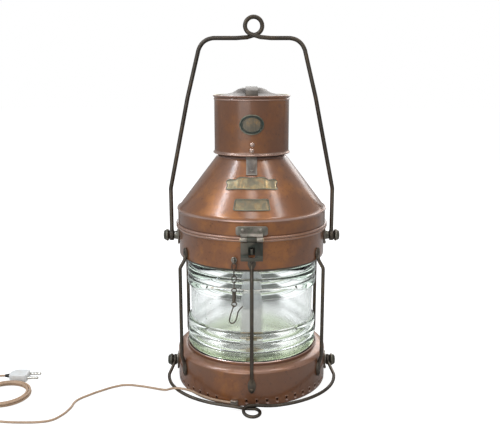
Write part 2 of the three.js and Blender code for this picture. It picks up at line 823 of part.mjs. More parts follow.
// Bracket between the chimney's inside wall and the cone, riveted to both
function chimneyBracket() {
  const wall = (chimneyRadius - chimneyWall) * Math.cos(Math.PI / pipeSteps) - gap;
  const inner = bracketThick / 2 - Math.sqrt(wall ** 2 - (bracketWidth / 2) ** 2);
  const slope = Math.atan2(coneFootRadius - coneTopRadius, coneTop - coneFoot);
  const off = (bracketThick / 2 + gap) / Math.cos(slope) + gap;
  const on = (z) => [-coneAt(z) - off, z];
  const line = [
    [inner, bracketTop], [inner, chimneyFoot - bracketThick], on(coneTop - bracketThick), on(bracketFoot),
  ];
  const strap = crossPlate(stripShape(line, bracketThick), bracketWidth);
  const [y, z] = on(bracketFoot + rivetRadius * 2.2);
  const half = bracketThick / 2;
  const head = rivetFront(0, 0, 0).rotateX(-Math.PI / 2 + slope)
    .translate(0, y - half * Math.cos(slope), z - half * Math.sin(slope));
  return joined(strap, head);
}

// Plates that follow a round or sloping wall: a turned skin trimmed by an outline
function skinPlate(skin, shape) {
  return common(skin, frontPlate(shape, -coneTopRadius / 2, coneFootRadius));
}

function ellipse(width, height, z) {
  const points = [];
  for (let i = 0; i < 24; i++) {
    const a = i / 24 * 2 * Math.PI;
    points.push(new THREE.Vector2(width / 2 * Math.cos(a), z + height / 2 * Math.sin(a)));
  }
  return new THREE.Shape(points);
}

function ovalPlate() {
  const low = chimneyRadius + gap;
  const margin = chimneyRadius * 0.1;
  const skin = ring(low, low + plateRise, chimneyFoot + margin * 2, chimneyTop - margin);
  return skinPlate(skin, ellipse(ovalWide, ovalTall, ovalHeight));
}

function coneSkin(low, high) {
  const slope = Math.atan2(coneFootRadius - coneTopRadius, coneTop - coneFoot);
  const near = gap / Math.cos(slope);
  const far = (gap + plateRise) / Math.cos(slope);
  return turned([
    [coneAt(low) + near, low], [coneAt(low) + far, low],
    [coneAt(high) + far, high], [coneAt(high) + near, high], [coneAt(low) + near, low],
  ]);
}

// Right half of the scroll's outline, as shares of half its width and half its height
const scrollShares = [
  [0, 0.86], [0.5, 1], [0.62, 0.5], [0.9, 0.62], [1, 0.15], [0.86, -0.32],
  [0.93, -1], [0.45, -0.72], [0, -0.8],
];

function scrollPlate() {
  const at = (side) => ([u, v]) =>
    new THREE.Vector2(side * u * scrollWide / 2, scrollHeight + v * scrollTall / 2);
  const right = scrollShares.map(at(1));
  const left = scrollShares.slice(1, -1).reverse().map(at(-1));
  const skin = coneSkin(scrollHeight - scrollTall, scrollHeight + scrollTall);
  return skinPlate(skin, new THREE.Shape([...right, ...left].reverse()));
}

function labelPlate() {
  const skin = coneSkin(labelHeight - labelTall, labelHeight + labelTall);
  return skinPlate(skin, roundedBox(labelWide, labelTall, labelTall * 0.2, 0, labelHeight));
}

// Latch: the fixed leaf on the skirt, with a knuckle at each end of the pin
function latchLeaf() {
  const face = -(skirtRadius + gap);
  const lineY = face - latchSheet / 2;
  const tongue = latchWidth * knuckleShare;
  const line = [
    [lineY, latchPlateTop], [lineY, latchPlateFoot + latchKnuckle * 0.6],
    [latchPinY + latchSheet / 2, latchPinHeight + latchKnuckle * 0.6],
  ];
  const leaf = crossPlate(stripShape(line, latchSheet), latchWidth);
  const tall = latchPlateTop - latchPlateFoot;
  const back = frontPlate(
    roundedBox(latchPlateWidth, tall, latchKnuckle, 0, latchPlateFoot + tall / 2), face, latchSheet);
  const barrels = [-1, 1].map((side) => {
    const ends = [side * tongue / 2, side * latchWidth / 2].sort((a, b) => a - b);
    return alongX(rod(latchKnuckle, ends[0], ends[1]), latchPinY, latchPinHeight);
  });
  const room = crossPlate(stripShape([
    [latchPinY, latchPinHeight - latchKnuckle - gap], [latchPinY, latchPinHeight + latchKnuckle + gap],
  ], (latchKnuckle + gap) * 2), tongue);
  const bore = alongX(rod(latchPin + gap, -latchWidth, latchWidth), latchPinY, latchPinHeight);
  const rivets = [-1, 1].map((side) =>
    rivetFront(side * latchRivetX, face - latchSheet, latchRivetHeight));
  return joined(back, ...rivets, cut(joined(leaf, ...barrels), room, bore));
}

// Hasp: a slotted plate with folded cheeks, a middle knuckle and a lip that stands proud
function haspPlate() {
  const leafTop = latchPinHeight - latchKnuckle - gap * 2;
  const tongue = latchWidth * knuckleShare - gap * 2;
  const line = [
    [latchPinY, latchPinHeight - latchKnuckle / 2], [latchPinY, haspCrankTop],
    [latchPinY - haspCrank, haspCrankTop - haspCrank], [latchPinY - haspCrank, haspFoot],
  ];
  const leaf = crossPlate(stripShape(line, latchSheet), latchWidth);
  const cornerWide = (latchWidth - tongue) / 2 + overrun;
  const corners = [-1, 1].map((side) => crossPlate(stripShape([
    [latchPinY, leafTop], [latchPinY, latchPinHeight + latchKnuckle],
  ], latchKnuckle * 3), cornerWide, side * (tongue + cornerWide) / 2));
  const cheekY = latchPinY + haspCheek / 2;
  const cheeks = [-1, 1].map((side) => crossPlate(stripShape([
    [cheekY, haspCrankTop + haspCrank / 2], [cheekY, leafTop - latchKnuckle / 2],
  ], haspCheek), latchSheet, side * (latchWidth - latchSheet) / 2));
  const barrel = alongX(rod(latchKnuckle, -tongue / 2, tongue / 2), latchPinY, latchPinHeight);
  const bore = alongX(rod(latchPin + gap, -latchWidth, latchWidth), latchPinY, latchPinHeight);
  const slot = frontPlate(
    roundedBox(slotWidth, slotTop - slotFoot, slotWidth * 0.2, 0, (slotTop + slotFoot) / 2),
    latchPinY + latchSheet, haspCrank + latchSheet * 3);
  return cut(joined(cut(leaf, ...corners), barrel, ...cheeks), slot, bore);
}

// Hinge pin with a head at each end
function hingePin(radius, width, y, z) {
  const head = radius * 1.7;
  const inner = width / 2 + gap;
  const outer = inner + radius * 0.8;
  return alongX(turned([
    [0, -outer], [head * 0.7, -outer], [head, -inner], [radius, -inner],
    [radius, inner], [head, inner], [head * 0.7, outer], [0, outer],
  ], 12), y, z);
}

// Staple: a riveted plate with an eye that stands in the hasp's slot
function latchStaple() {
  const face = -(collarRadius + gap);
  const middle = stapleHeight;
  const tall = stapleTop - stapleFoot;
  const outline = roundedBox(staplePlateWide, staplePlateTall, stapleThick / 2, 0, middle);
  const plate = frontPlate(outline, face, latchSheet);
  const long = stapleReach + face;
  const tongue = crossPlate(roundedBox(long, tall, stapleThick / 2, face - long / 2, middle), stapleThick);
  const holeLong = long - latchSheet - stapleThick * 1.4;
  const hole = crossPlate(roundedBox(holeLong, tall - stapleThick, stapleThick / 2,
    face - latchSheet - holeLong / 2 - stapleThick * 0.4, middle), stapleThick * 2);
  return joined(plate, cut(tongue, hole));
}

// Rear hinge: the lower leaf on the collar carries two knuckles, the upper leaf one
function rearLeaf(line, onEnds) {
  const middle = rearWidth * knuckleShare;
  const leaf = crossPlate(stripShape(line, rearLeafSheet), rearWidth);
  const spans = onEnds
    ? [[-rearWidth / 2, -middle / 2], [middle / 2, rearWidth / 2]]
    : [[-middle / 2 + gap, middle / 2 - gap]];
  const barrels = spans.map(([a, b]) => alongX(rod(rearKnuckle, a, b), rearPinY, rearPinHeight));
  const reach = rearKnuckle + gap;
  const room = (width, x) => crossPlate(stripShape([
    [rearPinY, rearPinHeight - reach], [rearPinY, rearPinHeight + reach]], reach * 2), width, x);
  const side = (rearWidth - middle) / 2 + overrun;
  const tools = onEnds
    ? [room(middle, 0)]
    : [-1, 1].map((s) => room(side, s * ((middle + side) / 2 - gap)));
  const bore = alongX(rod(rearPin + gap, -rearWidth, rearWidth), rearPinY, rearPinHeight);
  return cut(joined(cut(leaf, ...tools), ...barrels), bore);
}

function rearRivets(face, z) {
  return [-1, 1].map((side) =>
    rivetFront(0, 0, 0).rotateZ(Math.PI).translate(side * rearWidth * 0.3, face, z));
}

function lowerRearLeaf() {
  const middle = collarRadius + gap + rearLeafSheet / 2;
  const line = [
    [middle, rearLeafFoot], [middle, rearPinHeight - rearKnuckle * 2.6],
    [rearPinY + rearKnuckle * 0.4, rearPinHeight - rearKnuckle * 0.7],
  ];
  const rivets = rearRivets(middle + rearLeafSheet / 2, rearLeafFoot + rivetRadius * 1.6);
  return joined(rearLeaf(line, true), ...rivets);
}

function upperRearLeaf() {
  const middle = skirtRadius + gap + rearLeafSheet / 2;
  const line = [
    [rearPinY + rearKnuckle * 0.4, rearPinHeight + rearKnuckle * 0.7],
    [middle, rearPinHeight + rearKnuckle * 2.6], [middle, rearLeafTop],
  ];
  const rivets = rearRivets(middle + rearLeafSheet / 2, rearLeafTop - rivetRadius * 1.6);
  return joined(rearLeaf(line, false), ...rivets);
}

// Closed ring of wire in the XZ plane, drawn out upright by a straight length
function ringWire(radius, straight, diameter, sides = 6, endSteps = 5) {
  const line = [];
  for (let end = 0; end < 2; end++) {
    for (let i = 0; i <= endSteps; i++) {
      if (straight === 0 && i === endSteps) continue;
      const a = (end + i / endSteps) * Math.PI;
      const shift = end === 0 ? straight / 2 : -straight / 2;
      line.push([radius * Math.cos(a), radius * Math.sin(a) + shift, a]);
    }
  }
  const position = [];
  for (const [x, z, a] of line) {
    for (let k = 0; k < sides; k++) {
      const b = (k + 0.5) / sides * 2 * Math.PI;
      const out = diameter / 2 * Math.cos(b);
      position.push(x + out * Math.cos(a), diameter / 2 * Math.sin(b), z + out * Math.sin(a));
    }
  }
  return tubeSkin(position, line.length, sides, true);
}

// Skin over rings of points, closed in a loop or capped at both ends
function tubeSkin(position, rings, sides, closed) {
  const index = [];
  const last = closed ? rings : rings - 1;
  for (let i = 0; i < last; i++) {
    for (let k = 0; k < sides; k++) {
      const next = (i + 1) % rings;
      const [a, b] = [i * sides + k, i * sides + (k + 1) % sides];
      const [c, d] = [next * sides + k, next * sides + (k + 1) % sides];
      index.push(a, b, c, b, d, c);
    }
  }
  if (!closed) {
    for (let k = 1; k < sides - 1; k++) {
      const far = (rings - 1) * sides;
      index.push(0, k + 1, k, far, far + k, far + k + 1);
    }
  }
  const g = new THREE.BufferGeometry();
  g.setAttribute('position', new THREE.Float32BufferAttribute(position, 3));
  g.setIndex(index);
  return g;
}

// Small eye on the collar that the chain hangs from
function chainEye() {
  const eye = ringWire(chainEyeRadius, 0, hookWire).rotateZ(Math.PI / 2)
    .translate(chainX, chainY, chainEyeHeight);
  const foot = turned([[0, 0], [chainFoot, 0], [chainFoot, latchSheet], [0, latchSheet]], 10)
    .rotateX(Math.PI / 2).rotateZ(Math.asin(chainX / collarRadius))
    .translate(chainX, chainWallY, chainEyeHeight);
  return joined(eye, foot);
}

// Chain: long links that hang in each other, each a quarter turn from the last
const linkInside = linkLong - chainWire * 2;
const linkPitch = linkInside - gap;
const linkTop = chainEyeHeight - chainEyeRadius + hookWire / 2 + gap;
const linkCentre = (i) => linkTop - linkInside / 2 - linkPitch * i;

function chainLink(i) {
  const radius = (linkWide - chainWire) / 2;
  const link = ringWire(radius, linkInside + chainWire - radius * 2, chainWire);
  if (i % 2 === 1) link.rotateZ(Math.PI / 2);
  return link.translate(chainX, chainY, linkCentre(i));
}

// The open hook's line below its ring, as shares of its width and its drop
const hookShares = [
  [0, -0.1], [-0.12, 0.16], [-0.3, 0.62], [-0.34, 0.86], [-0.2, 1], [0.06, 0.9],
  [0.2, 0.62], [0.3, 0.3], [0.6, 0],
];

// Hook: an eye in the last link, a wrapped shank, a small ring and the open hook of one wire
const hookTop = linkCentre(linkCount - 1) - linkInside / 2 + gap;

function snapHook() {
  const turn = linkCount % 2 === 1 ? Math.PI / 2 : 0;
  const eyeInside = hookEye - hookWire / 2;
  const eyeMiddle = hookTop - eyeInside;
  const eye = ringWire(hookEye, 0, hookWire).rotateZ(turn).translate(chainX, chainY, eyeMiddle);
  const wrapTop = eyeMiddle - hookEye + hookWire / 4;
  const wrap = [[0, wrapTop]];
  for (let i = 0; i < wrapTurns * 2; i++) {
    const z = wrapTop - wrapLong * (i + 0.5) / (wrapTurns * 2);
    wrap.push([i % 2 === 0 ? wrapRadius : wrapRadius - hookWire / 3, z]);
  }
  wrap.push([0, wrapTop - wrapLong]);
  const ringMiddle = wrapTop - wrapLong - hookEye + hookWire / 4;
  const lowRing = ringWire(hookEye, 0, hookWire).translate(chainX, chainY, ringMiddle);
  const places = hookShares.map(([u, v]) =>
    new THREE.Vector3(chainX + u * hookWide, chainY, ringMiddle - hookEye - v * hookDrop));
  const curve = new THREE.CatmullRomCurve3(places);
  const hook = wire(curve.getSpacedPoints(15), hookWire, 6);
  return joined(eye, turned(wrap, 8).translate(chainX, chainY, 0), lowRing, hook);
}

// Lamp on the tinned floor: stem, porcelain holder and clear tubular bulb

function lampStem() {
  const flange = stemRadius * 2.2;
  const low = floorTop + gap;
  return turned([
    [0, low], [flange, low], [flange, low + floorSheet * 2], [stemRadius, low + floorSheet * 3],
    [stemRadius, stemTop], [0, stemTop],
  ], lampSteps);
}

function lampHolder() {
  const low = stemTop + gap;
  const mouth = bulbRadius * 0.8;
  const wide = holderRadius;
  return turned([
    [0, low], [wide * 0.8, low], [wide, low + wide * 0.4], [wide, holderTop - wide * 0.3],
    [wide * 0.92, holderTop], [mouth, holderTop], [mouth, holderTop - wide], [0, holderTop - wide],
  ], lampSteps);
}

function lampBulb() {
  const neck = bulbRadius * 0.8 - gap;
  const low = holderTop - holderRadius + gap;
  const shoulder = holderTop + bulbRadius * 0.6;
  const profile = [[0, low], [neck, low], [neck, holderTop + gap], [bulbRadius, shoulder]];
  for (let i = 0; i <= 4; i++) {
    const a = i / 4 * Math.PI / 2;
    profile.push([bulbRadius * Math.cos(a), bulbTop - bulbRadius + bulbRadius * Math.sin(a)]);
  }
  return turned(profile, lampSteps);
}

// Gland: a small block on the base wall with its mouth turned along the wall
function cordGland() {
  const s = new THREE.Shape();
  const depth = cordDiameter * 1.6;
  s.moveTo(-glandLong / 2, 0).lineTo(glandLong / 2, 0).lineTo(glandLong * 0.25, depth).lineTo(-glandLong / 2, depth);
  return new THREE.ExtrudeGeometry(s, { depth: glandTall, bevelEnabled: false })
    .translate(0, 0, glandHeight - glandTall / 2).scale(1, -1, 1)
    .translate(0, -baseRadius - gap, 0).rotateZ(glandAngle * deg);
}

// Cord from the gland, over the lower bail and out over the floor, to the coil
const cordLead = [
  [-35.1, -118.35, 7], [-42, -115.8, 6.8], [-57.5, -108.6, 6.4], [-70.3, -101.2, 6.8],
  [-80, -98.4, 9.2], [-89, -97.6, 13.5], [-98, -98, 17], [-107, -96.4, 18.2], [-116, -91.6, 16.7],
  [-125, -83.5, 11.8], [-134, -75, 5.6], [-144, -67, 2.6], [-156, -61, 1.8], [-177.9, -53.8, 1.8],
  [-203.1, -50.2, 1.8], [-218.2, -56.2, 1.8], [-232.4, -66.4, 1.8], [-252.3, -84.4, 1.8],
  [-267.4, -103.5, 1.8], [-270.8, -127.5, 1.8], [-278.3, -149, 1.8], [-289.2, -163, 1.8],
  [-305.9, -168.2, 1.8], [-326.1, -169.3, 1.8], [-345.8, -168.6, 1.8], [-370, -165, 1.8], [-392, -158.5, 1.8],
  [-410, -146, 1.8], [-421, -129, 1.8], [-425.4, -112, 1.8], [-426, -98, 1.8], [-426, -87.8, 1.8],
];

// The lead from the gland's mouth, moved out or in with the base's wall where it lies beside it
function leadBesideBase() {
  const out = baseRadius + gap + cordDiameter * 0.8;
  const mouth = new THREE.Vector3(-glandLong / 2 - gap, -out, glandHeight)
    .applyAxisAngle(new THREE.Vector3(0, 0, 1), glandAngle * deg);
  const points = cordLead.map(([x, y, z]) => {
    const reach = Math.hypot(x, y);
    const near = Math.min(Math.max((cordFree - reach) / (cordFree - cordFollows), 0), 1);
    const scale = 1 + near * (baseRadius - cordDrawnRadius) / reach;
    return new THREE.Vector3(x * scale, y * scale, z);
  });
  return [mouth, ...points];
}

// Corners of the cord's way from the coil's top to the plug, rounded by its bend
const cordTail = [[-426, -80.2, 5.9], [-426, -26, 6.2], [-403.1, -26, 6.5]];

// Coil: loops that spiral in on the floor, climb a layer and spiral out again
function coilPoint(turns) {
  const half = coilLoops / 2;
  const inward = turns <= half ? turns : coilLoops - turns;
  const climb = Math.min(Math.max((turns - half) / (1 / 2) + 1 / 2, 0), 1);
  const radius = coilRadius - coilPitch * inward;
  const a = Math.PI - turns * 2 * Math.PI;
  return new THREE.Vector3(
    coilX + radius * Math.cos(a), coilY + radius * Math.sin(a),
    cordRest + climb * coilPitch);
}

function coilLine() {
  const points = [];
  for (let i = 0; i <= coilLoops * coilSteps; i++) points.push(coilPoint(i / coilSteps));
  const first = points[0].clone().add(new THREE.Vector3(0, -cordDiameter, 0));
  const last = points[points.length - 1].clone().add(new THREE.Vector3(0, cordDiameter, 0));
  return [first, ...points, last];
}

// Least distance between the skins of two turns that aren't next to each other along the cord
function leastGap(points) {
  let least = Infinity;
  for (let i = 0; i < points.length; i++) {
    for (let k = i + coilSteps / 2; k < points.length; k++) {
      least = Math.min(least, points[i].distanceTo(points[k]) - cordDiameter);
    }
  }
  return least;
}

function cordCoil() {
  const line = coilLine();
  console.log(`coil: least gap to itself ${leastGap(line).toFixed(2)} mm`);
  return wire(line, cordDiameter, 6);
}

// Plug: a tapered body on the floor, two pins and a strain relief
function plugBody() {
  const [long, half, nose] = [plugLong, plugWide / 2, plugNose / 2];
  const s = new THREE.Shape();
  s.moveTo(-long / 2, -nose).lineTo(-long / 5, -half).lineTo(long * 0.38, -half).lineTo(long / 2, -half * 0.8);
  s.lineTo(long / 2, half * 0.8).lineTo(long * 0.38, half).lineTo(-long / 5, half).lineTo(-long / 2, nose);
  const side = plugThick * 0.16;
  const core = new THREE.ExtrudeGeometry(s, {
    depth: plugThick - side * 2, bevelEnabled: true, bevelThickness: side, bevelSize: side,
    bevelOffset: -side, bevelSegments: 1,
  });
  return core.translate(plugX, plugY, side);
}

const plugPin = (side) => alongX(turned([
  [0, plugX + plugLong / 2 + gap], [pinRadius, plugX + plugLong / 2 + gap],
  [pinRadius, plugX + plugLong / 2 + pinLong - pinRadius], [pinRadius / 2, plugX + plugLong / 2 + pinLong],
  [0, plugX + plugLong / 2 + pinLong],
], 10), plugY + side * pinSpread / 2, plugThick / 2);

const plugRelief = () => alongX(turned([
  [0, plugX - plugLong / 2 - gap - reliefLong], [cordDiameter * 0.7, plugX - plugLong / 2 - gap - reliefLong],
  [cordDiameter, plugX - plugLong / 2 - gap], [0, plugX - plugLong / 2 - gap],
], 12), plugY, plugThick / 2);

const vectors = (points) => points.map(([x, y, z]) => new THREE.Vector3(x, y, z));

// Lamp base, glass and collar
piece('base_shell', baseShell(), copper);
piece('base_plate', rod(baseFootRadius - sheet - gap * 2, 0, plateThick, ventCount), copper);
piece('lamp_floor', rod(glassBore - gap * 2, seatTop + gap, floorTop, pipeSteps), tinned);
piece('gasket_lower', ring(glassBore, ribNotch, seatTop + gap, gasketTop, pipeSteps), rubber);
piece('glass_lens', turned(lensProfile()), glass);
piece('gasket_upper', ring(glassBore, ribNotch, glassTop + gap, glassTop + gap + gasketThick, pipeSteps), rubber);
piece('collar', collarShell(), copper);

const rod0 = guardRod();
for (let i = 0; i < guardCount; i++) piece(`guard_rod_${i + 1}`, rod0, bronze, i * 360 / guardCount);

// Studs and knobs, the right one turned half round for the left
const ears = [
  ['upper', collarRadius, upperStudHeight, topBailLeg, topBailWire],
  ['lower', baseRadius, lowerStudHeight, lowerBailLeg, lowerBailWire],
];
for (const [level, wall, height, middle, thick] of ears) {
  for (const [side, angle] of [['right', 0], ['left', 180]]) {
    piece(`${level}_stud_${side}`, bailEar(wall, height, middle, thick), verdigris, angle);
    piece(`${level}_knob_${side}`, bailKnob(height, middle, thick), verdigris, angle);
  }
}
piece('top_bail', topBail(), bronze);
piece('lower_bail', lowerBail(), bronze);

// Lamp inside
piece('lamp_stem', lampStem(), brass);
piece('lamp_holder', lampHolder(), porcelain);
piece('lamp_bulb', lampBulb(), glass);

// Hood and chimney
piece('hood_shell', hoodShell(), copper);
piece('flue', turned(flueProfile(), pipeSteps), copper);
piece('chimney', turned(chimneyProfile(), pipeSteps), copper);
piece('chimney_lid', turned(lidProfile(), pipeSteps), pewter);
piece('lid_strap', lidStrap(), pewter);
for (let i = 0; i < bracketCount; i++) {
  piece(`chimney_bracket_${i + 1}`, chimneyBracket(), verdigris, i * 360 / bracketCount);
}
piece('oval_plate', ovalPlate(), brass);
piece('scroll_plate', scrollPlate(), brass);
piece('label_plate', labelPlate(), brass);

// Latch, hinge and chain
piece('latch_leaf', latchLeaf(), verdigris);
piece('latch_pin', hingePin(latchPin, latchWidth, latchPinY, latchPinHeight), brass);
piece('hasp', haspPlate(), verdigris);
piece('latch_staple', latchStaple(), brass);
piece('hinge_leaf_lower', lowerRearLeaf(), verdigris);
piece('hinge_leaf_upper', upperRearLeaf(), verdigris);
piece('hinge_pin', hingePin(rearPin, rearWidth, rearPinY, rearPinHeight), brass);
piece('chain_eye', chainEye(), verdigris);
for (let i = 0; i < linkCount; i++) piece(`chain_link_${i + 1}`, chainLink(i), bronze);
piece('snap_hook', snapHook(), bronze);

// Cord
piece('cord_gland', cordGland(), brass);
piece('lamp_cord', wire(leadBesideBase(), cordDiameter), cordSkin);
piece('cord_coil', cordCoil(), cordSkin);
piece('cord_tail', wire(bent(vectors(cordTail), cordBend, 15), cordDiameter), cordSkin);
piece('plug_relief', plugRelief(), rubber);
piece('plug_body', plugBody(), plugWhite);
piece('plug_pin_1', plugPin(-1), brass);
piece('plug_pin_2', plugPin(1), brass);

export default group;
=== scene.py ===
# Anchor lantern in old copper with a ribbed glass, two swinging bails and an electric cord.
# Blender works in metres, +Z is up and the front is towards -Y.
# Sizes are in millimetres, unless a note says metres.
import json
import math

import bpy
from mathutils import Matrix, Vector

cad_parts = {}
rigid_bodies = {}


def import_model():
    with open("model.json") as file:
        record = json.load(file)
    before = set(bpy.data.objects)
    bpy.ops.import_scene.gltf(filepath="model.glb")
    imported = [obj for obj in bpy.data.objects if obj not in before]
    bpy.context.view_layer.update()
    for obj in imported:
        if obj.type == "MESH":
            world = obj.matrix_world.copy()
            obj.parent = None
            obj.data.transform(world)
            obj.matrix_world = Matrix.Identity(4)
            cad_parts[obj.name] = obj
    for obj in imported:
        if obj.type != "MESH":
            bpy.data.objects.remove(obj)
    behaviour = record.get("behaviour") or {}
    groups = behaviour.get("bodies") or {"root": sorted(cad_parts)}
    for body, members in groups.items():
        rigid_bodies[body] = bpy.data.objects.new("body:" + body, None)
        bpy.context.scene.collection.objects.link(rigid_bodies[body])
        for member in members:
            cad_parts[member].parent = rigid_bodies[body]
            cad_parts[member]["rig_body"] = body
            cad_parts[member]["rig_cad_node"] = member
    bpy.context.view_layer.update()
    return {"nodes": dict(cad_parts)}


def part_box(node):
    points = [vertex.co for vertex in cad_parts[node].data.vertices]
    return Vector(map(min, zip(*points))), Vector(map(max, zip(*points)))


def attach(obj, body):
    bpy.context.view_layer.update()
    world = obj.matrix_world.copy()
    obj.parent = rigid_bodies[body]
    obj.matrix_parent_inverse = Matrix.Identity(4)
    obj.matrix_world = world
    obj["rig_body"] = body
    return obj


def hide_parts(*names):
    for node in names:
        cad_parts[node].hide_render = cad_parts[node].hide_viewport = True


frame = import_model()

mm = 0.001
tau = math.tau
quarterTurn = math.radians(90)
clearance = 0.3  # between pieces that stand close without touching


# camera, at the photograph's own viewpoint; its place is in metres
cameraSet = {"place": (-0.0025, -1.061, 0.4925), "pitch": 11.94, "focalPixels": 680, "imageWidth": 500,
             "sensor": 36, "nearest": 0.05}


def makeCamera(c):
    bpy.ops.object.camera_add(location=c["place"], rotation=(math.radians(90 - c["pitch"]), 0, 0))
    camera = bpy.context.object
    camera.data.sensor_width = c["sensor"]
    camera.data.lens = c["focalPixels"] / c["imageWidth"] * c["sensor"]
    camera.data.clip_start = c["nearest"]
    bpy.context.scene.camera = camera
    print("camera ready")


makeCamera(cameraSet)


def clearSelection():
    if bpy.context.mode != "OBJECT":
        bpy.ops.object.mode_set(mode="OBJECT")
    bpy.ops.object.select_all(action="DESELECT")


def makeActive(obj):
    clearSelection()
    obj.select_set(True)
    bpy.context.view_layer.objects.active = obj


def editAll():
    bpy.ops.object.mode_set(mode="EDIT")
    bpy.ops.mesh.select_mode(type="VERT")
    bpy.ops.mesh.select_all(action="SELECT")


def weld(gap=1e-6):
    # in edit mode, makes one of all points closer than the gap
    bpy.ops.mesh.select_all(action="SELECT")
    bpy.ops.mesh.remove_doubles(threshold=gap)


def closeEdit():
    # leaves edit mode with every face turned outwards
    bpy.ops.mesh.select_all(action="SELECT")
    bpy.ops.mesh.normals_make_consistent(inside=False)
    bpy.ops.object.mode_set(mode="OBJECT")


def sliceAcross(x):
    # in edit mode, cuts a loop of edges into the mesh at x in metres
    bpy.ops.mesh.select_all(action="SELECT")
    bpy.ops.mesh.bisect(plane_co=(x, 0, 0), plane_no=(1, 0, 0))


def pick(obj, test):
    # opens edit mode with the points selected whose place passes a test
    makeActive(obj)
    editAll()
    bpy.ops.mesh.select_all(action="DESELECT")
    bpy.ops.object.mode_set(mode="OBJECT")
    for v in obj.data.vertices:
        v.select = test(v.co)
    bpy.ops.object.mode_set(mode="EDIT")


def named(obj, name):
    obj.name = name
    obj.data.name = name
    return obj


def bakePlace(obj):
    # the place goes into the mesh, so the object stays at the origin
    makeActive(obj)
    bpy.ops.object.transform_apply(location=True, rotation=True, scale=True)
    return obj


def applyModifiers(obj):
    makeActive(obj)
    for name in [m.name for m in obj.modifiers]:
        bpy.ops.object.modifier_apply(modifier=name)


def smooth(obj, angle=40):
    makeActive(obj)
    bpy.ops.object.shade_smooth_by_angle(angle=math.radians(angle))
    return obj


def bevel(obj, width, segments, angle):
    m = obj.modifiers.new("edges", "BEVEL")
    m.width = width
    m.segments = segments
    m.limit_method = "ANGLE"
    m.angle_limit = math.radians(angle)
    applyModifiers(obj)


def cutWith(obj, cutter):
    m = obj.modifiers.new("cut", "BOOLEAN")
    m.operation = "DIFFERENCE"
    m.solver = "EXACT"
    m.object = cutter
    applyModifiers(obj)
    bpy.data.objects.remove(cutter)


def joinPieces(pieces, name):
    clearSelection()
    for p in pieces:
        p.select_set(True)
    bpy.context.view_layer.objects.active = pieces[0]
    bpy.ops.object.join()
    return named(pieces[0], name)


def copyOf(obj, turn, name="copy"):
    makeActive(obj)
    bpy.ops.object.duplicate(linked=False)
    new = bpy.context.object
    new.data.transform(turn)
    return named(new, name)


def turnZ(degrees):
    return Matrix.Rotation(math.radians(degrees), 4, "Z")


def alongX(obj, y=0.0, z=0.0):
    # lays a piece that was spun round Z along X
    obj.data.transform(Matrix.Translation((0, y * mm, z * mm)) @ Matrix.Rotation(quarterTurn, 4, "Y"))
    return obj


def arc(middle, radius, start, end, steps):
    # points on an arc, angles in degrees; radius may be a pair
    rx, rz = radius if isinstance(radius, tuple) else (radius, radius)
    angles = [math.radians(start + (end - start) * i / steps) for i in range(steps + 1)]
    return [(middle[0] + rx * math.cos(a), middle[1] + rz * math.sin(a)) for a in angles]


def bent(corners, radius, steps=5):
    # corner points turned into arcs of one bend radius
    out = [Vector(corners[0])]
    for before, corner, after in zip(corners, corners[1:], corners[2:]):
        before, corner, after = Vector(before), Vector(corner), Vector(after)
        into, away = (corner - before).normalized(), (after - corner).normalized()
        turn = into.angle(away)
        normal = (away - into).normalized()
        centre = corner + normal * radius / math.cos(turn / 2)
        start = corner - into * radius * math.tan(turn / 2) - centre
        axis = into.cross(away).normalized()
        out += [Matrix.Rotation(turn * k / steps, 3, axis) @ start + centre for k in range(steps + 1)]
    out.append(Vector(corners[-1]))
    return out


def spun(name, profile, steps=96, close=True, sharp=40):
    # (radius, height) pairs, drawn as an edge and spun round Z
    clearSelection()
    bpy.ops.mesh.primitive_plane_add(size=mm)
    obj = bpy.context.object
    editAll()
    bpy.ops.mesh.merge(type="CENTER")
    x, z = profile[0]
    bpy.ops.transform.translate(value=(x * mm, 0, z * mm))
    for (x0, z0), (x1, z1) in zip(profile, profile[1:] + (profile[:1] if close else [])):
        step = ((x1 - x0) * mm, 0, (z1 - z0) * mm)
        bpy.ops.mesh.extrude_region_move(TRANSFORM_OT_translate={"value": step})
    weld()
    bpy.ops.mesh.spin(steps=steps, angle=tau, center=(0, 0, 0), axis=(0, 0, 1))
    weld()
    closeEdit()
    return smooth(named(obj, name), sharp)


def wired(name, points, diameter, keepCurve=False, smoothLine=True, sides=6, radii=None):
    # a round wire along points, all in metres
    clearSelection()
    bpy.ops.curve.primitive_bezier_curve_add(location=(0, 0, 0))
    obj = bpy.context.object
    curve = obj.data
    curve.splines.clear()
    spline = curve.splines.new("BEZIER" if smoothLine else "POLY")
    store = spline.bezier_points if smoothLine else spline.points
    store.add(len(points) - 1)
    for i, (point, p) in enumerate(zip(store, points)):
        point.co = Vector(p) if smoothLine else (*p, 1)
        point.radius = radii[i] if radii else 1
        if smoothLine:
            point.handle_left_type = point.handle_right_type = "AUTO"
    curve.dimensions = "3D"
    curve.resolution_u = 6
    curve.bevel_depth = diameter / 2
    curve.bevel_resolution = sides
    curve.use_fill_caps = True
    if keepCurve:
        return named(obj, name)
    makeActive(obj)
    bpy.ops.object.convert(target="MESH")
    obj = named(bpy.context.object, name)
    makeActive(obj)
    editAll()
    weld()
    closeEdit()
    return smooth(obj, 50)


def rivet(place, normal, radius, rise):
    # a domed head on a surface, with its foot a little inside it
    clearSelection()
    bpy.ops.mesh.primitive_uv_sphere_add(segments=20, ring_count=12, radius=1)
    obj = bpy.context.object
    editAll()
    bpy.ops.mesh.bisect(plane_co=(0, 0, -0.15), plane_no=(0, 0, 1), use_fill=True, clear_inner=True)
    bpy.ops.object.mode_set(mode="OBJECT")
    turn = Vector(normal).to_track_quat("Z", "Y").to_matrix().to_4x4()
    size = Matrix.Diagonal((radius * mm, radius * mm, rise * mm, 1))
    obj.data.transform(Matrix.Translation(Vector(place) * mm) @ turn @ size)
    return smooth(obj, 50)


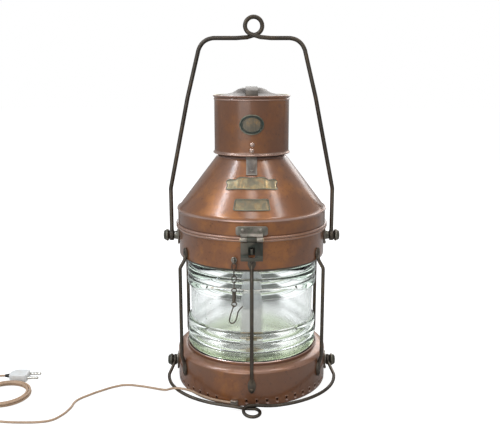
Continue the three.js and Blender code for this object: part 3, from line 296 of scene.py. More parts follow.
def dressedCopy(node, edge, name):
    # a copy of the frame's own solid, its triangles merged and its edges softened
    clearSelection()
    source = frame["nodes"][node]
    obj = source.copy()
    obj.data = source.data.copy()
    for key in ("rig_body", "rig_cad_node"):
        if key in obj:
            del obj[key]
    obj.parent = None
    obj.matrix_world = Matrix.Identity(4)
    bpy.context.scene.collection.objects.link(obj)
    obj.data.materials.clear()
    makeActive(named(obj, name))
    editAll()
    weld(2e-6)
    bpy.ops.mesh.dissolve_limited(angle_limit=math.radians(1))
    bpy.ops.object.mode_set(mode="OBJECT")
    bevel(obj, edge * mm, 2, 30)
    return smooth(obj, 35)


def nodeBox(node):
    # lowest and highest corner of a CAD node
    low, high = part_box(node)
    return low / mm, high / mm


def middleOf(node):
    low, high = nodeBox(node)
    return (low + high) / 2


# cord: its route comes first, because its length has to be real; its diameter is in metres
cordSet = {"diameter": 0.0035, "bendAtPlug": 19.4, "coilMiddle": (-385, -84), "coilRadius": 41, "coilPitch": 4.1,
           "coilLoops": 4, "coilSteps": 24, "rest": 1.8}
leadPoints = [
    (-31.7, -119.1, 7), (-35.1, -118.35, 7), (-42, -115.8, 6.8), (-57.5, -108.6, 6.4), (-70.3, -101.2, 6.8),
    (-80, -98.4, 9.2), (-89, -97.6, 13.5), (-98, -98, 17), (-107, -96.4, 18.2), (-116, -91.6, 16.7),
    (-125, -83.5, 11.8), (-134, -75, 5.6), (-144, -67, 2.6), (-156, -61, 1.8), (-177.9, -53.8, 1.8),
    (-203.1, -50.2, 1.8), (-218.2, -56.2, 1.8), (-232.4, -66.4, 1.8), (-252.3, -84.4, 1.8),
    (-267.4, -103.5, 1.8), (-270.8, -127.5, 1.8), (-278.3, -149, 1.8), (-289.2, -163, 1.8),
    (-305.9, -168.2, 1.8), (-326.1, -169.3, 1.8), (-345.8, -168.6, 1.8), (-370, -165, 1.8), (-392, -158.5, 1.8),
    (-410, -146, 1.8), (-421, -129, 1.8), (-425.4, -112, 1.8), (-426, -98, 1.8), (-426, -87.8, 1.8)]
tailCorners = [(-426, -80.2, 5.9), (-426, -26, 6.2), (-403.1, -26, 6.5)]


def coilPoint(turns, c):
    # the coil winds inwards on the floor, climbs and winds outwards on itself
    half = c["coilLoops"] / 2
    inward = turns if turns <= half else c["coilLoops"] - turns
    climb = min(max((turns - half) * 2 + 0.5, 0), 1)
    radius = c["coilRadius"] - c["coilPitch"] * inward
    a = math.pi - turns * tau
    x, y = c["coilMiddle"]
    return (x + radius * math.cos(a), y + radius * math.sin(a), c["rest"] + climb * c["coilPitch"])


def cordRoute(c):
    coil = [coilPoint(i / c["coilSteps"], c) for i in range(c["coilLoops"] * c["coilSteps"] + 1)]
    tail = [tuple(p) for p in bent(tailCorners, c["bendAtPlug"], 6)]
    return [Vector(p) * mm for p in leadPoints + coil + tail]


def lengthOf(points):
    return sum((b - a).length for a, b in zip(points, points[1:]))


route = cordRoute(cordSet)
print(f"cord route {lengthOf(route):.3f} m")


def feed(tree, socket, value):
    # what goes into a socket is another node's socket, a colour, a vector or a number
    if isinstance(value, bpy.types.NodeSocket):
        tree.links.new(value, socket)
    elif isinstance(value, tuple):
        socket.default_value = value if len(value) == len(socket.default_value) else (*value, 1)
    else:
        socket.default_value = value


def addNode(tree, kind, values=None, **settings):
    node = tree.nodes.new("ShaderNode" + kind)
    for key, value in settings.items():
        setattr(node, key, value)
    for socket, value in (values or {}).items():
        feed(tree, node.inputs[socket], value)
    return node


def objectCoords(tree):
    return addNode(tree, "TexCoord").outputs["Object"]


def ramp(tree, source, low, high, lowValue=0.0, highValue=1.0):
    values = {"Value": source, "From Min": low, "From Max": high, "To Min": lowValue, "To Max": highValue}
    return addNode(tree, "MapRange", values, interpolation_type="SMOOTHSTEP").outputs["Result"]


def maths(tree, operation, a, b=0.0, clamp=False):
    return addNode(tree, "Math", {0: a, 1: b}, operation=operation, use_clamp=clamp).outputs[0]


def plus(tree, a, b, clamp=False):
    return maths(tree, "ADD", a, b, clamp)


def minus(tree, a, b, clamp=False):
    return maths(tree, "SUBTRACT", a, b, clamp)


def times(tree, a, b, clamp=False):
    return maths(tree, "MULTIPLY", a, b, clamp)


def mixColour(tree, factor, a, b, blend="MIX"):
    return addNode(tree, "Mix", {0: factor, 6: a, 7: b}, data_type="RGBA", blend_type=blend).outputs[2]


def noiseOf(tree, vector, scale, detail, roughness):
    values = {"Vector": vector, "Scale": scale, "Detail": detail, "Roughness": roughness}
    return addNode(tree, "TexNoise", values).outputs["Fac"]


def between(tree, source, low, high, soft):
    # one inside a range of values and nought outside it
    return times(tree, ramp(tree, source, low - soft, low), ramp(tree, source, high, high + soft, 1, 0))


def newGroup(name, inputs, outputs):
    group = bpy.data.node_groups.new(name, "ShaderNodeTree")
    for side, sockets in (("INPUT", inputs), ("OUTPUT", outputs)):
        for kind, labels in sockets.items():
            for label in labels:
                group.interface.new_socket(name=label, in_out=side, socket_type="NodeSocket" + kind)
    return group, group.nodes.new("NodeGroupInput").outputs, group.nodes.new("NodeGroupOutput").inputs


# aged metal: blotchy tarnish, dark grime, worn bright edges, fine scratches and dents
# a name that ends in From gives the limits between which a mask rises
agedColours = ("Metal", "Second", "Tarnish", "Worn", "Grime")
agedAmounts = ("Blotch Scale", "Tarnish Amount", "Wear Amount", "Grime Amount", "Oxide", "Roughness",
               "Dent Amount")
agedSet = {
    "cloudSize": 0.32, "patchSize": 1.7, "speckSize": 11.0, "fineScale": 900, "dentScale": 26,
    "scratchScale": 60, "scratchStretch": (1, 1, 22), "blotchShare": 0.65, "cloudShare": 0.55,
    "tarnishFrom": (0.47, 0.70), "patchFrom": (0.44, 0.60), "speckFrom": (0.55, 0.75),
    "hollowFrom": (0.50, 0.44), "edgeFrom": (0.54, 0.60), "edgeWander": 0.05, "scratchFrom": (0.62, 0.70),
    "blotchRough": 0.36, "dirtRough": 0.3, "wornSmooth": 0.12, "fineHeight": 0.02, "scratchDepth": 0.012,
    "cleanOxide": 0.5, "wornBare": 0.5, "dirtDull": 0.7, "coatRoughness": 0.2}


def makeAgedMetal(c):
    group, given, end = newGroup("agedMetal", {"Color": agedColours, "Float": agedAmounts},
                                 {"Color": ("Colour",), "Float": ("Roughness", "Height", "Metallic")})
    coords, scale = objectCoords(group), given["Blotch Scale"]
    blotch = noiseOf(group, coords, scale, 5, 0.6)
    cloud = noiseOf(group, coords, times(group, scale, c["cloudSize"]), 3, 0.5)
    patches = noiseOf(group, coords, times(group, scale, c["patchSize"]), 4, 0.65)
    speck = noiseOf(group, coords, times(group, scale, c["speckSize"]), 4, 0.7)
    fine = noiseOf(group, coords, c["fineScale"], 3, 0.6)
    dents = noiseOf(group, coords, c["dentScale"], 1, 0.4)
    stretched = addNode(group, "Mapping", {"Vector": coords, "Scale": c["scratchStretch"]}).outputs["Vector"]
    scratches = ramp(group, noiseOf(group, stretched, c["scratchScale"], 2, 0.5), *c["scratchFrom"])
    pointed = addNode(group, "NewGeometry").outputs["Pointiness"]

    spread = plus(group, times(group, blotch, c["blotchShare"]), times(group, cloud, c["cloudShare"]))
    tarnished = times(group, ramp(group, spread, *c["tarnishFrom"]), given["Tarnish Amount"], True)
    specks = times(group, ramp(group, speck, *c["speckFrom"]), given["Grime Amount"], True)
    hollows = times(group, ramp(group, pointed, *c["hollowFrom"]), given["Grime Amount"], True)
    dirty = maths(group, "MAXIMUM", specks, hollows)
    edges = ramp(group, plus(group, pointed, times(group, blotch, c["edgeWander"])), *c["edgeFrom"])
    worn = times(group, edges, given["Wear Amount"], True)

    colour = mixColour(group, ramp(group, patches, *c["patchFrom"]), given["Metal"], given["Second"])
    for mask, tone in ((tarnished, "Tarnish"), (dirty, "Grime"), (worn, "Worn")):
        colour = mixColour(group, mask, colour, given[tone])
    rough = plus(group, given["Roughness"], times(group, minus(group, blotch, 0.5), c["blotchRough"]))
    rough = plus(group, rough, times(group, dirty, c["dirtRough"]))
    rough = minus(group, rough, times(group, worn, c["wornSmooth"]), True)
    height = plus(group, times(group, dents, given["Dent Amount"]), times(group, fine, c["fineHeight"]))
    height = minus(group, height, times(group, scratches, c["scratchDepth"]))
    oxide = plus(group, times(group, tarnished, 1 - c["cleanOxide"]), c["cleanOxide"])
    oxide = minus(group, times(group, oxide, given["Oxide"]), times(group, worn, c["wornBare"]), True)
    dull = maths(group, "MAXIMUM", oxide, times(group, dirty, c["dirtDull"]))
    for label, source in (("Colour", colour), ("Roughness", rough), ("Height", height),
                          ("Metallic", minus(group, 1.0, dull, True))):
        group.links.new(source, end[label])
    return group


# handling marks on smooth surfaces that aren't metal: soft smears, dust and fine pits; the bump is in metres
handledInputs = ("Clean", "Soiled", "Scale", "Amount", "Roughness")
handledSet = {"smearFrom": (0.42, 0.75), "soiledRough": 0.35, "pitScale": 1400, "bump": 0.0001}


def makeHandled(c):
    group, given, end = newGroup("handled", {"Color": handledInputs[:2], "Float": handledInputs[2:]},
                                 {"Color": ("Colour",), "Float": ("Roughness", "Height")})
    coords = objectCoords(group)
    smear = ramp(group, noiseOf(group, coords, given["Scale"], 4, 0.6), *c["smearFrom"])
    soiled = times(group, smear, given["Amount"], True)
    rough = plus(group, given["Roughness"], times(group, soiled, c["soiledRough"]), True)
    group.links.new(mixColour(group, soiled, given["Clean"], given["Soiled"]), end["Colour"])
    group.links.new(rough, end["Roughness"])
    group.links.new(noiseOf(group, coords, c["pitScale"], 2, 0.5), end["Height"])
    return group


agedMetal = makeAgedMetal(agedSet)
handled = makeHandled(handledSet)
finishes = {}


def shaderFor(name):
    material = bpy.data.materials.new(name)
    material.use_nodes = True
    finishes[name] = material
    return material.node_tree, material.node_tree.nodes["Principled BSDF"]


def addBump(tree, shader, height, distance):
    node = addNode(tree, "Bump", {"Height": height, "Distance": distance, "Strength": 1.0})
    feed(tree, shader.inputs["Normal"], node.outputs["Normal"])


def makeMetal(name, tones, amounts, bump, coat=0.0):
    tree, shader = shaderFor(name)
    values = dict(zip(agedColours + agedAmounts, tones + amounts))
    look = addNode(tree, "Group", values, node_tree=agedMetal).outputs
    for socket, source in (("Base Color", "Colour"), ("Roughness", "Roughness"), ("Metallic", "Metallic")):
        feed(tree, shader.inputs[socket], look[source])
    addBump(tree, shader, look["Height"], bump)
    if coat:
        feed(tree, shader.inputs["Coat Weight"], coat)
        feed(tree, shader.inputs["Coat Roughness"], agedSet["coatRoughness"])


def makePlain(name, *values):
    tree, shader = shaderFor(name)
    look = addNode(tree, "Group", dict(zip(handledInputs, values)), node_tree=handled).outputs
    feed(tree, shader.inputs["Base Color"], look["Colour"])
    feed(tree, shader.inputs["Roughness"], look["Roughness"])
    addBump(tree, shader, look["Height"], handledSet["bump"])


# tones: metal, second tone, tarnish, worn edge and grime
copperTones = ((0.30, 0.114, 0.042), (0.40, 0.150, 0.040), (0.172, 0.068, 0.030), (0.74, 0.52, 0.45),
               (0.045, 0.03, 0.024))
strapTones = ((0.17, 0.135, 0.11), (0.09, 0.075, 0.063), (0.60, 0.56, 0.50), (0.05, 0.042, 0.035))

# tones, then blotch scale, tarnish, wear, grime, oxide, roughness and dents, then bump in metres and coat
metalLooks = {
    "agedCopper": (copperTones, (15.0, 0.9, 1.0, 0.5, 0.92, 0.42, 0.6), 0.0014, 1.0),
    "ventCopper": (copperTones, (15.0, 0.9, 0.0, 0.5, 0.92, 0.42, 0.6), 0.0014, 1.0),
    # lighter pinkish copper: a painted highlight, laid on the upward-facing shoulder, the rolled beads and the
    # crease
    "highlightCopper": (
        ((0.42, 0.22, 0.145), (0.38, 0.17, 0.08), (0.28, 0.14, 0.09), (0.74, 0.52, 0.45), (0.06, 0.04, 0.03)),
        (22.0, 0.6, 1.0, 0.5, 0.85, 0.4, 0.6), 0.0014, 1.0),
    # very dark copper: painted shade on the collar's downward-facing lower corner
    "shadedLipCopper": (
        ((0.13, 0.075, 0.04), (0.10, 0.085, 0.05), (0.06, 0.045, 0.03), (0.40, 0.28, 0.22), (0.03, 0.026, 0.02)),
        (50.0, 0.8, 0.6, 0.7, 0.8, 0.45, 0.6), 0.0010, 0.5),
    "wornCopper": (
        ((0.55, 0.38, 0.31), (0.60, 0.42, 0.34), (0.30, 0.17, 0.12), (0.85, 0.72, 0.64), (0.06, 0.04, 0.03)),
        (90.0, 0.5, 0.8, 0.4, 0.3, 0.3, 0.4), 0.0008),
    "darkBronze": (
        ((0.12, 0.104, 0.088), (0.15, 0.115, 0.08), (0.055, 0.048, 0.042), (0.30, 0.26, 0.21),
         (0.03, 0.03, 0.026)),
        (45.0, 0.8, 0.4, 0.6, 0.0, 0.48, 0.2), 0.0006),
    "verdigrisBrass": (
        ((0.31, 0.27, 0.235), (0.24, 0.235, 0.19), (0.09, 0.095, 0.075), (0.55, 0.49, 0.42),
         (0.035, 0.042, 0.036)),
        (60.0, 0.85, 0.7, 0.7, 0.0, 0.46, 0.3), 0.0008),
    # very dark verdigris for the hasp and staple: partly their own mottled tone, partly painted shade where they
    # hang below the latch leaf
    "darkVerdigrisAndShade": (
        ((0.052, 0.047, 0.038), (0.042, 0.052, 0.04), (0.024, 0.027, 0.022), (0.38, 0.34, 0.27),
         (0.03, 0.04, 0.034)),
        (70.0, 0.85, 0.25, 0.8, 0.7, 0.5, 0.5), 0.0010),
    "plateBrass": (
        ((0.92, 0.70, 0.36), (0.86, 0.52, 0.22), (0.44, 0.39, 0.27), (0.92, 0.82, 0.60), (0.08, 0.085, 0.075)),
        (120.0, 0.85, 0.6, 0.9, 0.35, 0.4, 0.9), 0.0014),
    "ovalBrass": (
        ((0.36, 0.28, 0.19), (0.50, 0.33, 0.16), (0.20, 0.18, 0.14), (0.60, 0.50, 0.36), (0.08, 0.075, 0.06)),
        (120.0, 0.9, 0.5, 0.8, 0.4, 0.45, 0.8), 0.0012),
    "plateRim": (
        ((0.13, 0.13, 0.105), (0.085, 0.125, 0.112), (0.065, 0.078, 0.068), (0.36, 0.33, 0.25),
         (0.05, 0.06, 0.055)),
        (120.0, 0.8, 0.6, 0.7, 0.0, 0.5, 0.5), 0.0008),
    "tarnishedSheet": (
        ((0.27, 0.255, 0.245), (0.23, 0.205, 0.185), (0.15, 0.13, 0.115), (0.70, 0.67, 0.62),
         (0.09, 0.07, 0.055)),
        (40.0, 0.6, 0.4, 0.5, 0.0, 0.45, 0.4), 0.0008),
    "strapMetal": (((0.20, 0.17, 0.145), *strapTones), (55.0, 0.8, 0.7, 0.6, 0.7, 0.45, 0.5), 0.0010),
    "lidStrapMetal": (((0.12, 0.10, 0.085), *strapTones), (55.0, 0.8, 0.12, 0.6, 0.7, 0.45, 0.5), 0.0010),
    "dullSheet": (
        ((0.46, 0.41, 0.25), (0.40, 0.34, 0.19), (0.25, 0.22, 0.13), (0.6, 0.55, 0.4), (0.06, 0.055, 0.04)),
        (30.0, 0.7, 0.2, 0.5, 0.5, 0.5, 0.4), 0.0006),
    "tinnedSheet": (
        ((0.80, 0.80, 0.78), (0.74, 0.73, 0.70), (0.6, 0.6, 0.57), (0.9, 0.9, 0.88), (0.3, 0.29, 0.26)),
        (30.0, 0.5, 0.2, 0.2, 0.0, 0.25, 0.4), 0.0006),
    "pinMetal": (
        ((0.62, 0.60, 0.55), (0.58, 0.53, 0.44), (0.42, 0.38, 0.30), (0.75, 0.73, 0.68), (0.15, 0.13, 0.10)),
        (200.0, 0.4, 0.4, 0.3, 0.0, 0.3, 0.1), 0.0002)}

# clean tone, soiled tone, scale of the smears, their amount and roughness
plainLooks = {
    "oldRubber": ((0.035, 0.034, 0.03), (0.12, 0.11, 0.09), 90.0, 0.4, 0.6),
    "porcelain": ((0.86, 0.85, 0.81), (0.62, 0.58, 0.5), 50.0, 0.25, 0.16),
    "cordSheath": ((0.57, 0.39, 0.26), (0.37, 0.245, 0.16), 70.0, 0.6, 0.38),
    "plugWhite": ((0.86, 0.87, 0.86), (0.66, 0.60, 0.5), 70.0, 0.35, 0.3)}

for name, look in metalLooks.items():
    makeMetal(name, *look)
for name, look in plainLooks.items():
    makePlain(name, *look)


# glass, with its lengths in metres: roughness grows by the film's amount where the film lies
glassIor = 1.5
filmFrom = (0.5, 0.85)
bulbLook = {"tint": (0.84, 0.86, 0.85), "transmission": 0.3, "frost": 0.5, "film": 0.07, "filmScale": 100,
            "ripple": 0.0002, "rippleScale": 40}
# haze inside the barrel, painted dark lines in the lower grooves standing for the glass's dark refraction there,
# an olive band at the foot, and a painted dark patch high on the back wall standing for the hood's dark inside
# seen through the upper ribs
lensLook = {
    "clear": (0.925, 0.92, 0.94), "absorbed": (0.82, 0.93, 0.84), "density": 24, "transmission": 1.0,
    "film": 0.07, "filmScale": 40, "ripple": 0.0003, "rippleScale": 16, "wander": 0.008, "wanderScale": 45,
    "bore": (0.0928, 0.0938), "haze": 0.24, "hazeBand": (0.110, 0.158), "hazeSoft": 0.004,
    "foot": (0.52, 0.57, 0.44), "footBand": (0.072, 0.078),
    "grooveDark": (0.12, 0.13, 0.10), "groove": (0.0988, 0.1000), "grooveSoft": 0.0004, "grooveTop": (0.110, 0.112),
    "smoke": (0.11, 0.115, 0.107), "smokeBand": (0.092, 0.178), "smokeSoft": 0.012, "smokeWide": (0.046, 0.058),
    "smokeBack": (0.05, 0.06)}


def startGlass(name, c):
    tree, shader = shaderFor(name)
    feed(tree, shader.inputs["Transmission Weight"], c["transmission"])
    feed(tree, shader.inputs["IOR"], glassIor)
    coords = objectCoords(tree)
    addBump(tree, shader, noiseOf(tree, coords, c["rippleScale"], 2, 0.5), c["ripple"])
    film = ramp(tree, noiseOf(tree, coords, c["filmScale"], 4, 0.6), *filmFrom, 0, c["film"])
    return tree, shader, film


def makeBulbGlass(c):
    tree, shader, film = startGlass("bulbGlass", c)
    feed(tree, shader.inputs["Base Color"], c["tint"])
    feed(tree, shader.inputs["Roughness"], plus(tree, film, c["frost"]))


def makeLensGlass(c):
    tree, shader, film = startGlass("lensGlass", c)
    coords = objectCoords(tree)
    axes = addNode(tree, "SeparateXYZ", {0: coords}).outputs
    flat = addNode(tree, "CombineXYZ", {0: axes["X"], 1: axes["Y"]}).outputs[0]
    reach = addNode(tree, "VectorMath", {0: flat}, operation="LENGTH").outputs["Value"]
    wander = times(tree, minus(tree, noiseOf(tree, coords, c["wanderScale"], 4, 0.6), 0.5), c["wander"])
    haze = times(tree, ramp(tree, reach, *c["bore"], 1, 0),
                 between(tree, axes["Z"], *c["hazeBand"], c["hazeSoft"]))
    feed(tree, shader.inputs["Roughness"], plus(tree, times(tree, haze, c["haze"]), film))
    # painted dark lines in the lower grooves, standing for the dark refraction at the rib notches
    groove = times(tree, between(tree, reach, *c["groove"], c["grooveSoft"]),
                   ramp(tree, axes["Z"], *c["grooveTop"], 1, 0))
    across = plus(tree, maths(tree, "ABSOLUTE", axes["X"]), times(tree, wander, 2))
    # painted dark patch high on the back wall: it stands for the dark flue and hood inside, seen through the
    # upper ribs
    back = times(tree, ramp(tree, axes["Y"], *c["smokeBack"]), ramp(tree, across, *c["smokeWide"], 1, 0))
    smoke = times(tree, back, between(tree, plus(tree, axes["Z"], wander), *c["smokeBand"], c["smokeSoft"]))
    colour = mixColour(tree, ramp(tree, axes["Z"], *c["footBand"], 1, 0), c["clear"], c["foot"])
    colour = mixColour(tree, groove, colour, c["grooveDark"])
    feed(tree, shader.inputs["Base Color"], mixColour(tree, smoke, colour, c["smoke"]))
    volume = addNode(tree, "VolumeAbsorption", {"Color": c["absorbed"], "Density": c["density"]})
    feed(tree, tree.nodes["Material Output"].inputs["Volume"], volume.outputs["Volume"])


makeLensGlass(lensLook)
makeBulbGlass(bulbLook)
print("materials ready")


def finishPiece(obj, finish, body, slot, *nodes):
    obj.data.materials.clear()
    obj.data.materials.append(finishes[finish])
    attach(obj, body)
    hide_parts(*nodes)
    return obj


def finishFaces(obj, finish, test):
    # one more finish, on the faces whose middle and normal pass a test
    obj.data.materials.append(finishes[finish])
    for face in obj.data.polygons:
        if test(face.center, face.normal):
            face.material_index = len(obj.data.materials) - 1


def facesAxis(p, n, share=0.01):
    # true where a face looks towards the lantern's middle line
    return n.x * p.x + n.y * p.y < -share * p.xy.length


# base: a spun drum with a soft shoulder, a row of air holes and a seat for the glass
baseSet = {"sheet": 1.6, "footRadius": 118.4, "footRise": 3, "bandTop": 51, "seatTop": 60, "seatInner": 86,
           "lip": 4.5, "lipRadius": 105.4, "tinnedTo": 55, "ventCount": 48, "ventRadius": 1.9, "ventHeight": 9.5,
           "ventRows": (-1.5, 1.5, 2.2, 3), "drill": 8, "glandAngle": -12.2}


def airHoles(radius, c):
    # one drill for each air hole, apart from where the cord's gland sits
    drills, spacing = [], 360 / c["ventCount"]
    for i in range(c["ventCount"]):
        angle = (i + 0.5) * spacing
        if abs(angle - 360 - c["glandAngle"]) < spacing:
            continue
        clearSelection()
        spot = turnZ(angle) @ Vector((0, -radius * mm, c["ventHeight"] * mm))
        bpy.ops.mesh.primitive_cylinder_add(vertices=14, radius=c["ventRadius"] * mm, depth=c["drill"] * mm,
                                            location=spot, rotation=(quarterTurn, 0, math.radians(angle)))
        drills.append(bpy.context.object)
    return bakePlace(joinPieces(drills, "holes"))


def makeBase(c):
    radius = nodeBox("base_shell")[1].x
    sheet, lip, seat, band, rise = c["sheet"], c["lipRadius"], c["seatTop"], c["bandTop"], c["footRise"]
    profile = [
        *arc((radius - rise, rise), rise, -60, 0, 5),
        *[(radius, c["ventHeight"] + k * c["ventRadius"]) for k in c["ventRows"]], (radius, band * 0.6),
        (radius, band - 1.2), *arc((lip, band), (radius - lip, seat - band), 0, 90, 14),
        (lip, seat + c["lip"] - 0.8), (lip - 0.8, seat + c["lip"]), (lip - sheet, seat + c["lip"] - 0.5),
        (lip - sheet, seat), (c["seatInner"], seat), (c["seatInner"], seat - sheet), (lip - sheet, seat - sheet),
        *arc((lip, band), (radius - lip - sheet, seat - band - sheet), 80, 0, 8),
        (radius - sheet, rise), (c["footRadius"] - sheet, 0)]
    shell = spun("base_drum", profile, 192)
    cutWith(shell, airHoles(radius, c))
    smooth(shell)
    finishPiece(shell, "agedCopper", "lantern", "copper", "base_shell")
    finishFaces(shell, "tinnedSheet", lambda p, n: facesAxis(p, n) and p.z < c["tinnedTo"] * mm)
    finishFaces(shell, "ventCopper", lambda p, n: abs(p.z - c["ventHeight"] * mm) < c["ventRadius"] * 1.4 * mm
                and p.xy.length > (radius - sheet - 0.1) * mm)
    # painted highlight: lighter copper on the upward-facing faces of the shoulder
    finishFaces(shell, "highlightCopper", lambda p, n: n.z > 0.3 and p.z > band * mm)


def makeBaseFloors():
    # the sheet that closes the base below, and the tinned floor under the lamp
    top = nodeBox("base_plate")[1]
    wide = top.x
    profile = [(0, 0.6), (wide * 0.3, 0.6), (wide * 0.34, 0), (wide * 0.84, 0), (wide * 0.88, 0.6),
               (wide - 0.6, 0.6), (wide, 1), (wide, top.z), (0, top.z)]
    plate = spun("base_underside", profile, close=False)
    finishPiece(plate, "agedCopper", "lantern", "copper", "base_plate")
    low, high = nodeBox("lamp_floor")
    wide = high.x
    profile = [(0, low.z), (wide - 0.4, low.z), (wide, low.z + 0.5), (wide - 0.4, high.z), (wide * 0.9, high.z),
               (wide * 0.86, high.z - 0.35), (0, high.z - 0.2)]
    floor = spun("tinned_floor", profile, close=False)
    finishPiece(floor, "tinnedSheet", "lantern", "tinned_copper", "lamp_floor")


makeBase(baseSet)
makeBaseFloors()
print("base ready")


# glass: a barrel with three round ribs below and three above, between two gaskets
glassSet = {"bore": 91.5, "barrel": 98, "rib": 103.4, "notch": 99, "lowerRibs": (63.6, 77.3, 91.7, 107.6),
            "upperRibs": (161, 177.5, 193.5, 209), "ribSteps": 12, "edge": 1.2}


def ribLine(ends, c):
    line = []
    for low, high in zip(ends, ends[1:]):
        middle, half = (low + high) / 2, (high - low) / 2
        line += arc((c["notch"], middle), (c["rib"] - c["notch"], half), -90, 90, c["ribSteps"])[:-1]
    return line + [(c["notch"], ends[-1])]


def makeGlass(c):
    low, high = nodeBox("glass_lens")
    bore, notch, edge, swell = c["bore"], c["notch"], c["edge"], c["rib"] - c["notch"]
    fillet = swell * 0.6
    profile = [
        (bore + edge, low.z), (notch - edge, low.z), *ribLine(c["lowerRibs"], c),
        *arc((c["barrel"] + fillet, c["lowerRibs"][-1] + swell * 0.8), fillet, 215, 180, 4),
        *arc((c["barrel"] + fillet, c["upperRibs"][0] - swell * 0.8), fillet, 180, 145, 4),
        *ribLine(c["upperRibs"], c), (notch, high.z - edge), (notch - edge, high.z),
        (bore + edge, high.z), (bore, high.z - edge), (bore, low.z + edge)]
    glass = spun("ribbed_glass", profile, 160, sharp=50)
    finishPiece(glass, "lensGlass", "lantern", "lens_glass", "glass_lens")
    for node in ("gasket_lower", "gasket_upper"):
        low, high = nodeBox(node)
        middle, half = (low.z + high.z) / 2, (high.z - low.z) / 2
        ring = [*arc((high.x - half, middle), half, -90, 90, 6), *arc((bore + half, middle), half, 90, 270, 6)]
        finishPiece(spun(node + "_ring", ring), "oldRubber", "lantern", "rubber", node)
    print("glass ready")


makeGlass(glassSet)


# collar: clamps the glass and carries the studs, the hinge and the latch
collarSet = {"sheet": 1.6, "mouth": 105, "corner": 5.6, "bore": 91.5, "lip": 0.8}


def makeCollar(c):
    low, high = nodeBox("collar")
    radius, sheet, corner, mouth, lip = high.x, c["sheet"], c["corner"], c["mouth"], c["lip"]
    shelf = nodeBox("gasket_upper")[1].z + clearance
    inside = radius - sheet
    profile = [
        *arc((mouth + lip, low.z + lip), lip, 180, 270, 3),
        *arc((radius - corner, low.z + corner), corner, -90, 0, 8),
        (radius, low.z + corner + 1), (radius, high.z - 2), (radius, high.z - 0.6), (radius - 0.6, high.z),
        (inside, high.z), (inside, shelf + sheet), (c["bore"], shelf + sheet), (c["bore"], shelf),
        (inside, shelf), (inside, low.z + corner), (radius - corner, low.z + sheet), (mouth, low.z + sheet)]
    collar = spun("collar_band", profile, 160)
    finishPiece(collar, "agedCopper", "lantern", "copper", "collar")
    finishFaces(collar, "dullSheet", facesAxis)
    # painted shade: dark copper on the downward-facing faces of the lower corner
    finishFaces(collar, "shadedLipCopper", lambda p, n: n.z < -0.1 and p.z < (low.z + corner) * mm)
    print("collar ready")


makeCollar(collarSet)


# hood: double rolled bead, short skirt, crease and cone, with the flue in its top
hoodSet = {"sheet": 1.6, "lipInner": 115.8, "bead": 119.5, "beadBottom": 254.6, "beadTop": 262.4, "skirt": 116.4,
           "coneFoot": 285, "coneFootRadius": 115.7, "coneTop": 366, "coneTopRadius": 54, "crease": 1.1,
           "coneRows": (0.02, 0.06, 0.35, 0.7, 0.95, 0.985)}
flueSet = {"wall": 1.2, "bore": 47, "flange": 1.2}


def coneAt(z):
    # the cone's outer radius at a height
    c = hoodSet
    t = (z - c["coneFoot"]) / (c["coneTop"] - c["coneFoot"])
    return c["coneFootRadius"] + (c["coneTopRadius"] - c["coneFootRadius"]) * t


def makeHood(c):
    sheet, skirt, crease = c["sheet"], c["skirt"], c["crease"]
    fold, beadTop, beadBottom = c["coneFoot"], c["beadTop"], c["beadBottom"]
    rest = nodeBox("collar")[1].z + clearance
    roll = (beadTop - beadBottom) / 4
    tall, narrow = c["coneTop"] - fold, c["coneTopRadius"] - c["coneFootRadius"]
    cone = [(c["coneFootRadius"] + narrow * t, fold + tall * t) for t in c["coneRows"]]
    wall = sheet / math.cos(math.atan2(-narrow, tall))
    inside = skirt - sheet - 0.3
    profile = [
        (c["lipInner"], beadBottom + 0.4), *arc((c["bead"] - roll, beadBottom + roll), roll, -90, 70, 8),
        *arc((c["bead"] - roll, beadTop - roll), roll, -70, 90, 8), (skirt, beadTop), (skirt, beadTop + 2),
        (skirt, fold - 5), (skirt, fold - 3), (skirt + crease, fold - 1.2), (skirt + crease * 0.8, fold + 0.4),
        *cone, (c["coneTopRadius"], c["coneTop"]), (c["coneTopRadius"] - sheet, c["coneTop"]),
        *[(r - wall, z) for r, z in reversed(cone)], (inside, fold - sheet), (inside, rest),
        (c["lipInner"], rest)]
    hood = spun("hood_cone", profile, 160, sharp=35)
    finishPiece(hood, "agedCopper", "hood", "copper", "hood_shell")
    # painted highlight: lighter copper on the rolled bead and along the crease
    finishFaces(hood, "highlightCopper", lambda p, n: p.z < beadTop * mm or abs(p.z - fold * mm) < 2 * mm)
    finishFaces(hood, "dullSheet", lambda p, n: facesAxis(p, n) or n.z < -0.75)
    print("hood ready")


def makeFlue(c):
    low, high = nodeBox("flue")
    wall, bore, edge = c["wall"], c["bore"], high.x
    seat = hoodSet["coneTop"] + clearance
    profile = [
        (bore - wall, low.z), (bore, low.z), (bore, seat), (edge - 0.4, seat), (edge, seat + c["flange"] / 2),
        (edge - 0.4, seat + c["flange"]), (bore, seat + c["flange"]), (bore, high.z), (bore - wall, high.z)]
    flue = spun("flue_pipe", profile)
    finishPiece(flue, "agedCopper", "hood", "copper", "flue")
    finishFaces(flue, "dullSheet", facesAxis)
    print("flue ready")


makeHood(hoodSet)
makeFlue(flueSet)


# chimney: a drum with a rolled foot, a flared lip and a pair of rivets on three sides
chimneySet = {"wall": 1.5, "bead": 59.6, "radius": 57.6, "beadTall": 3, "rivets": ((0.9, 387.6), (0.2, 378.6)),
              "rivetRadius": 3.8, "rivetRise": 2.2, "rivetBand": (372, 393)}


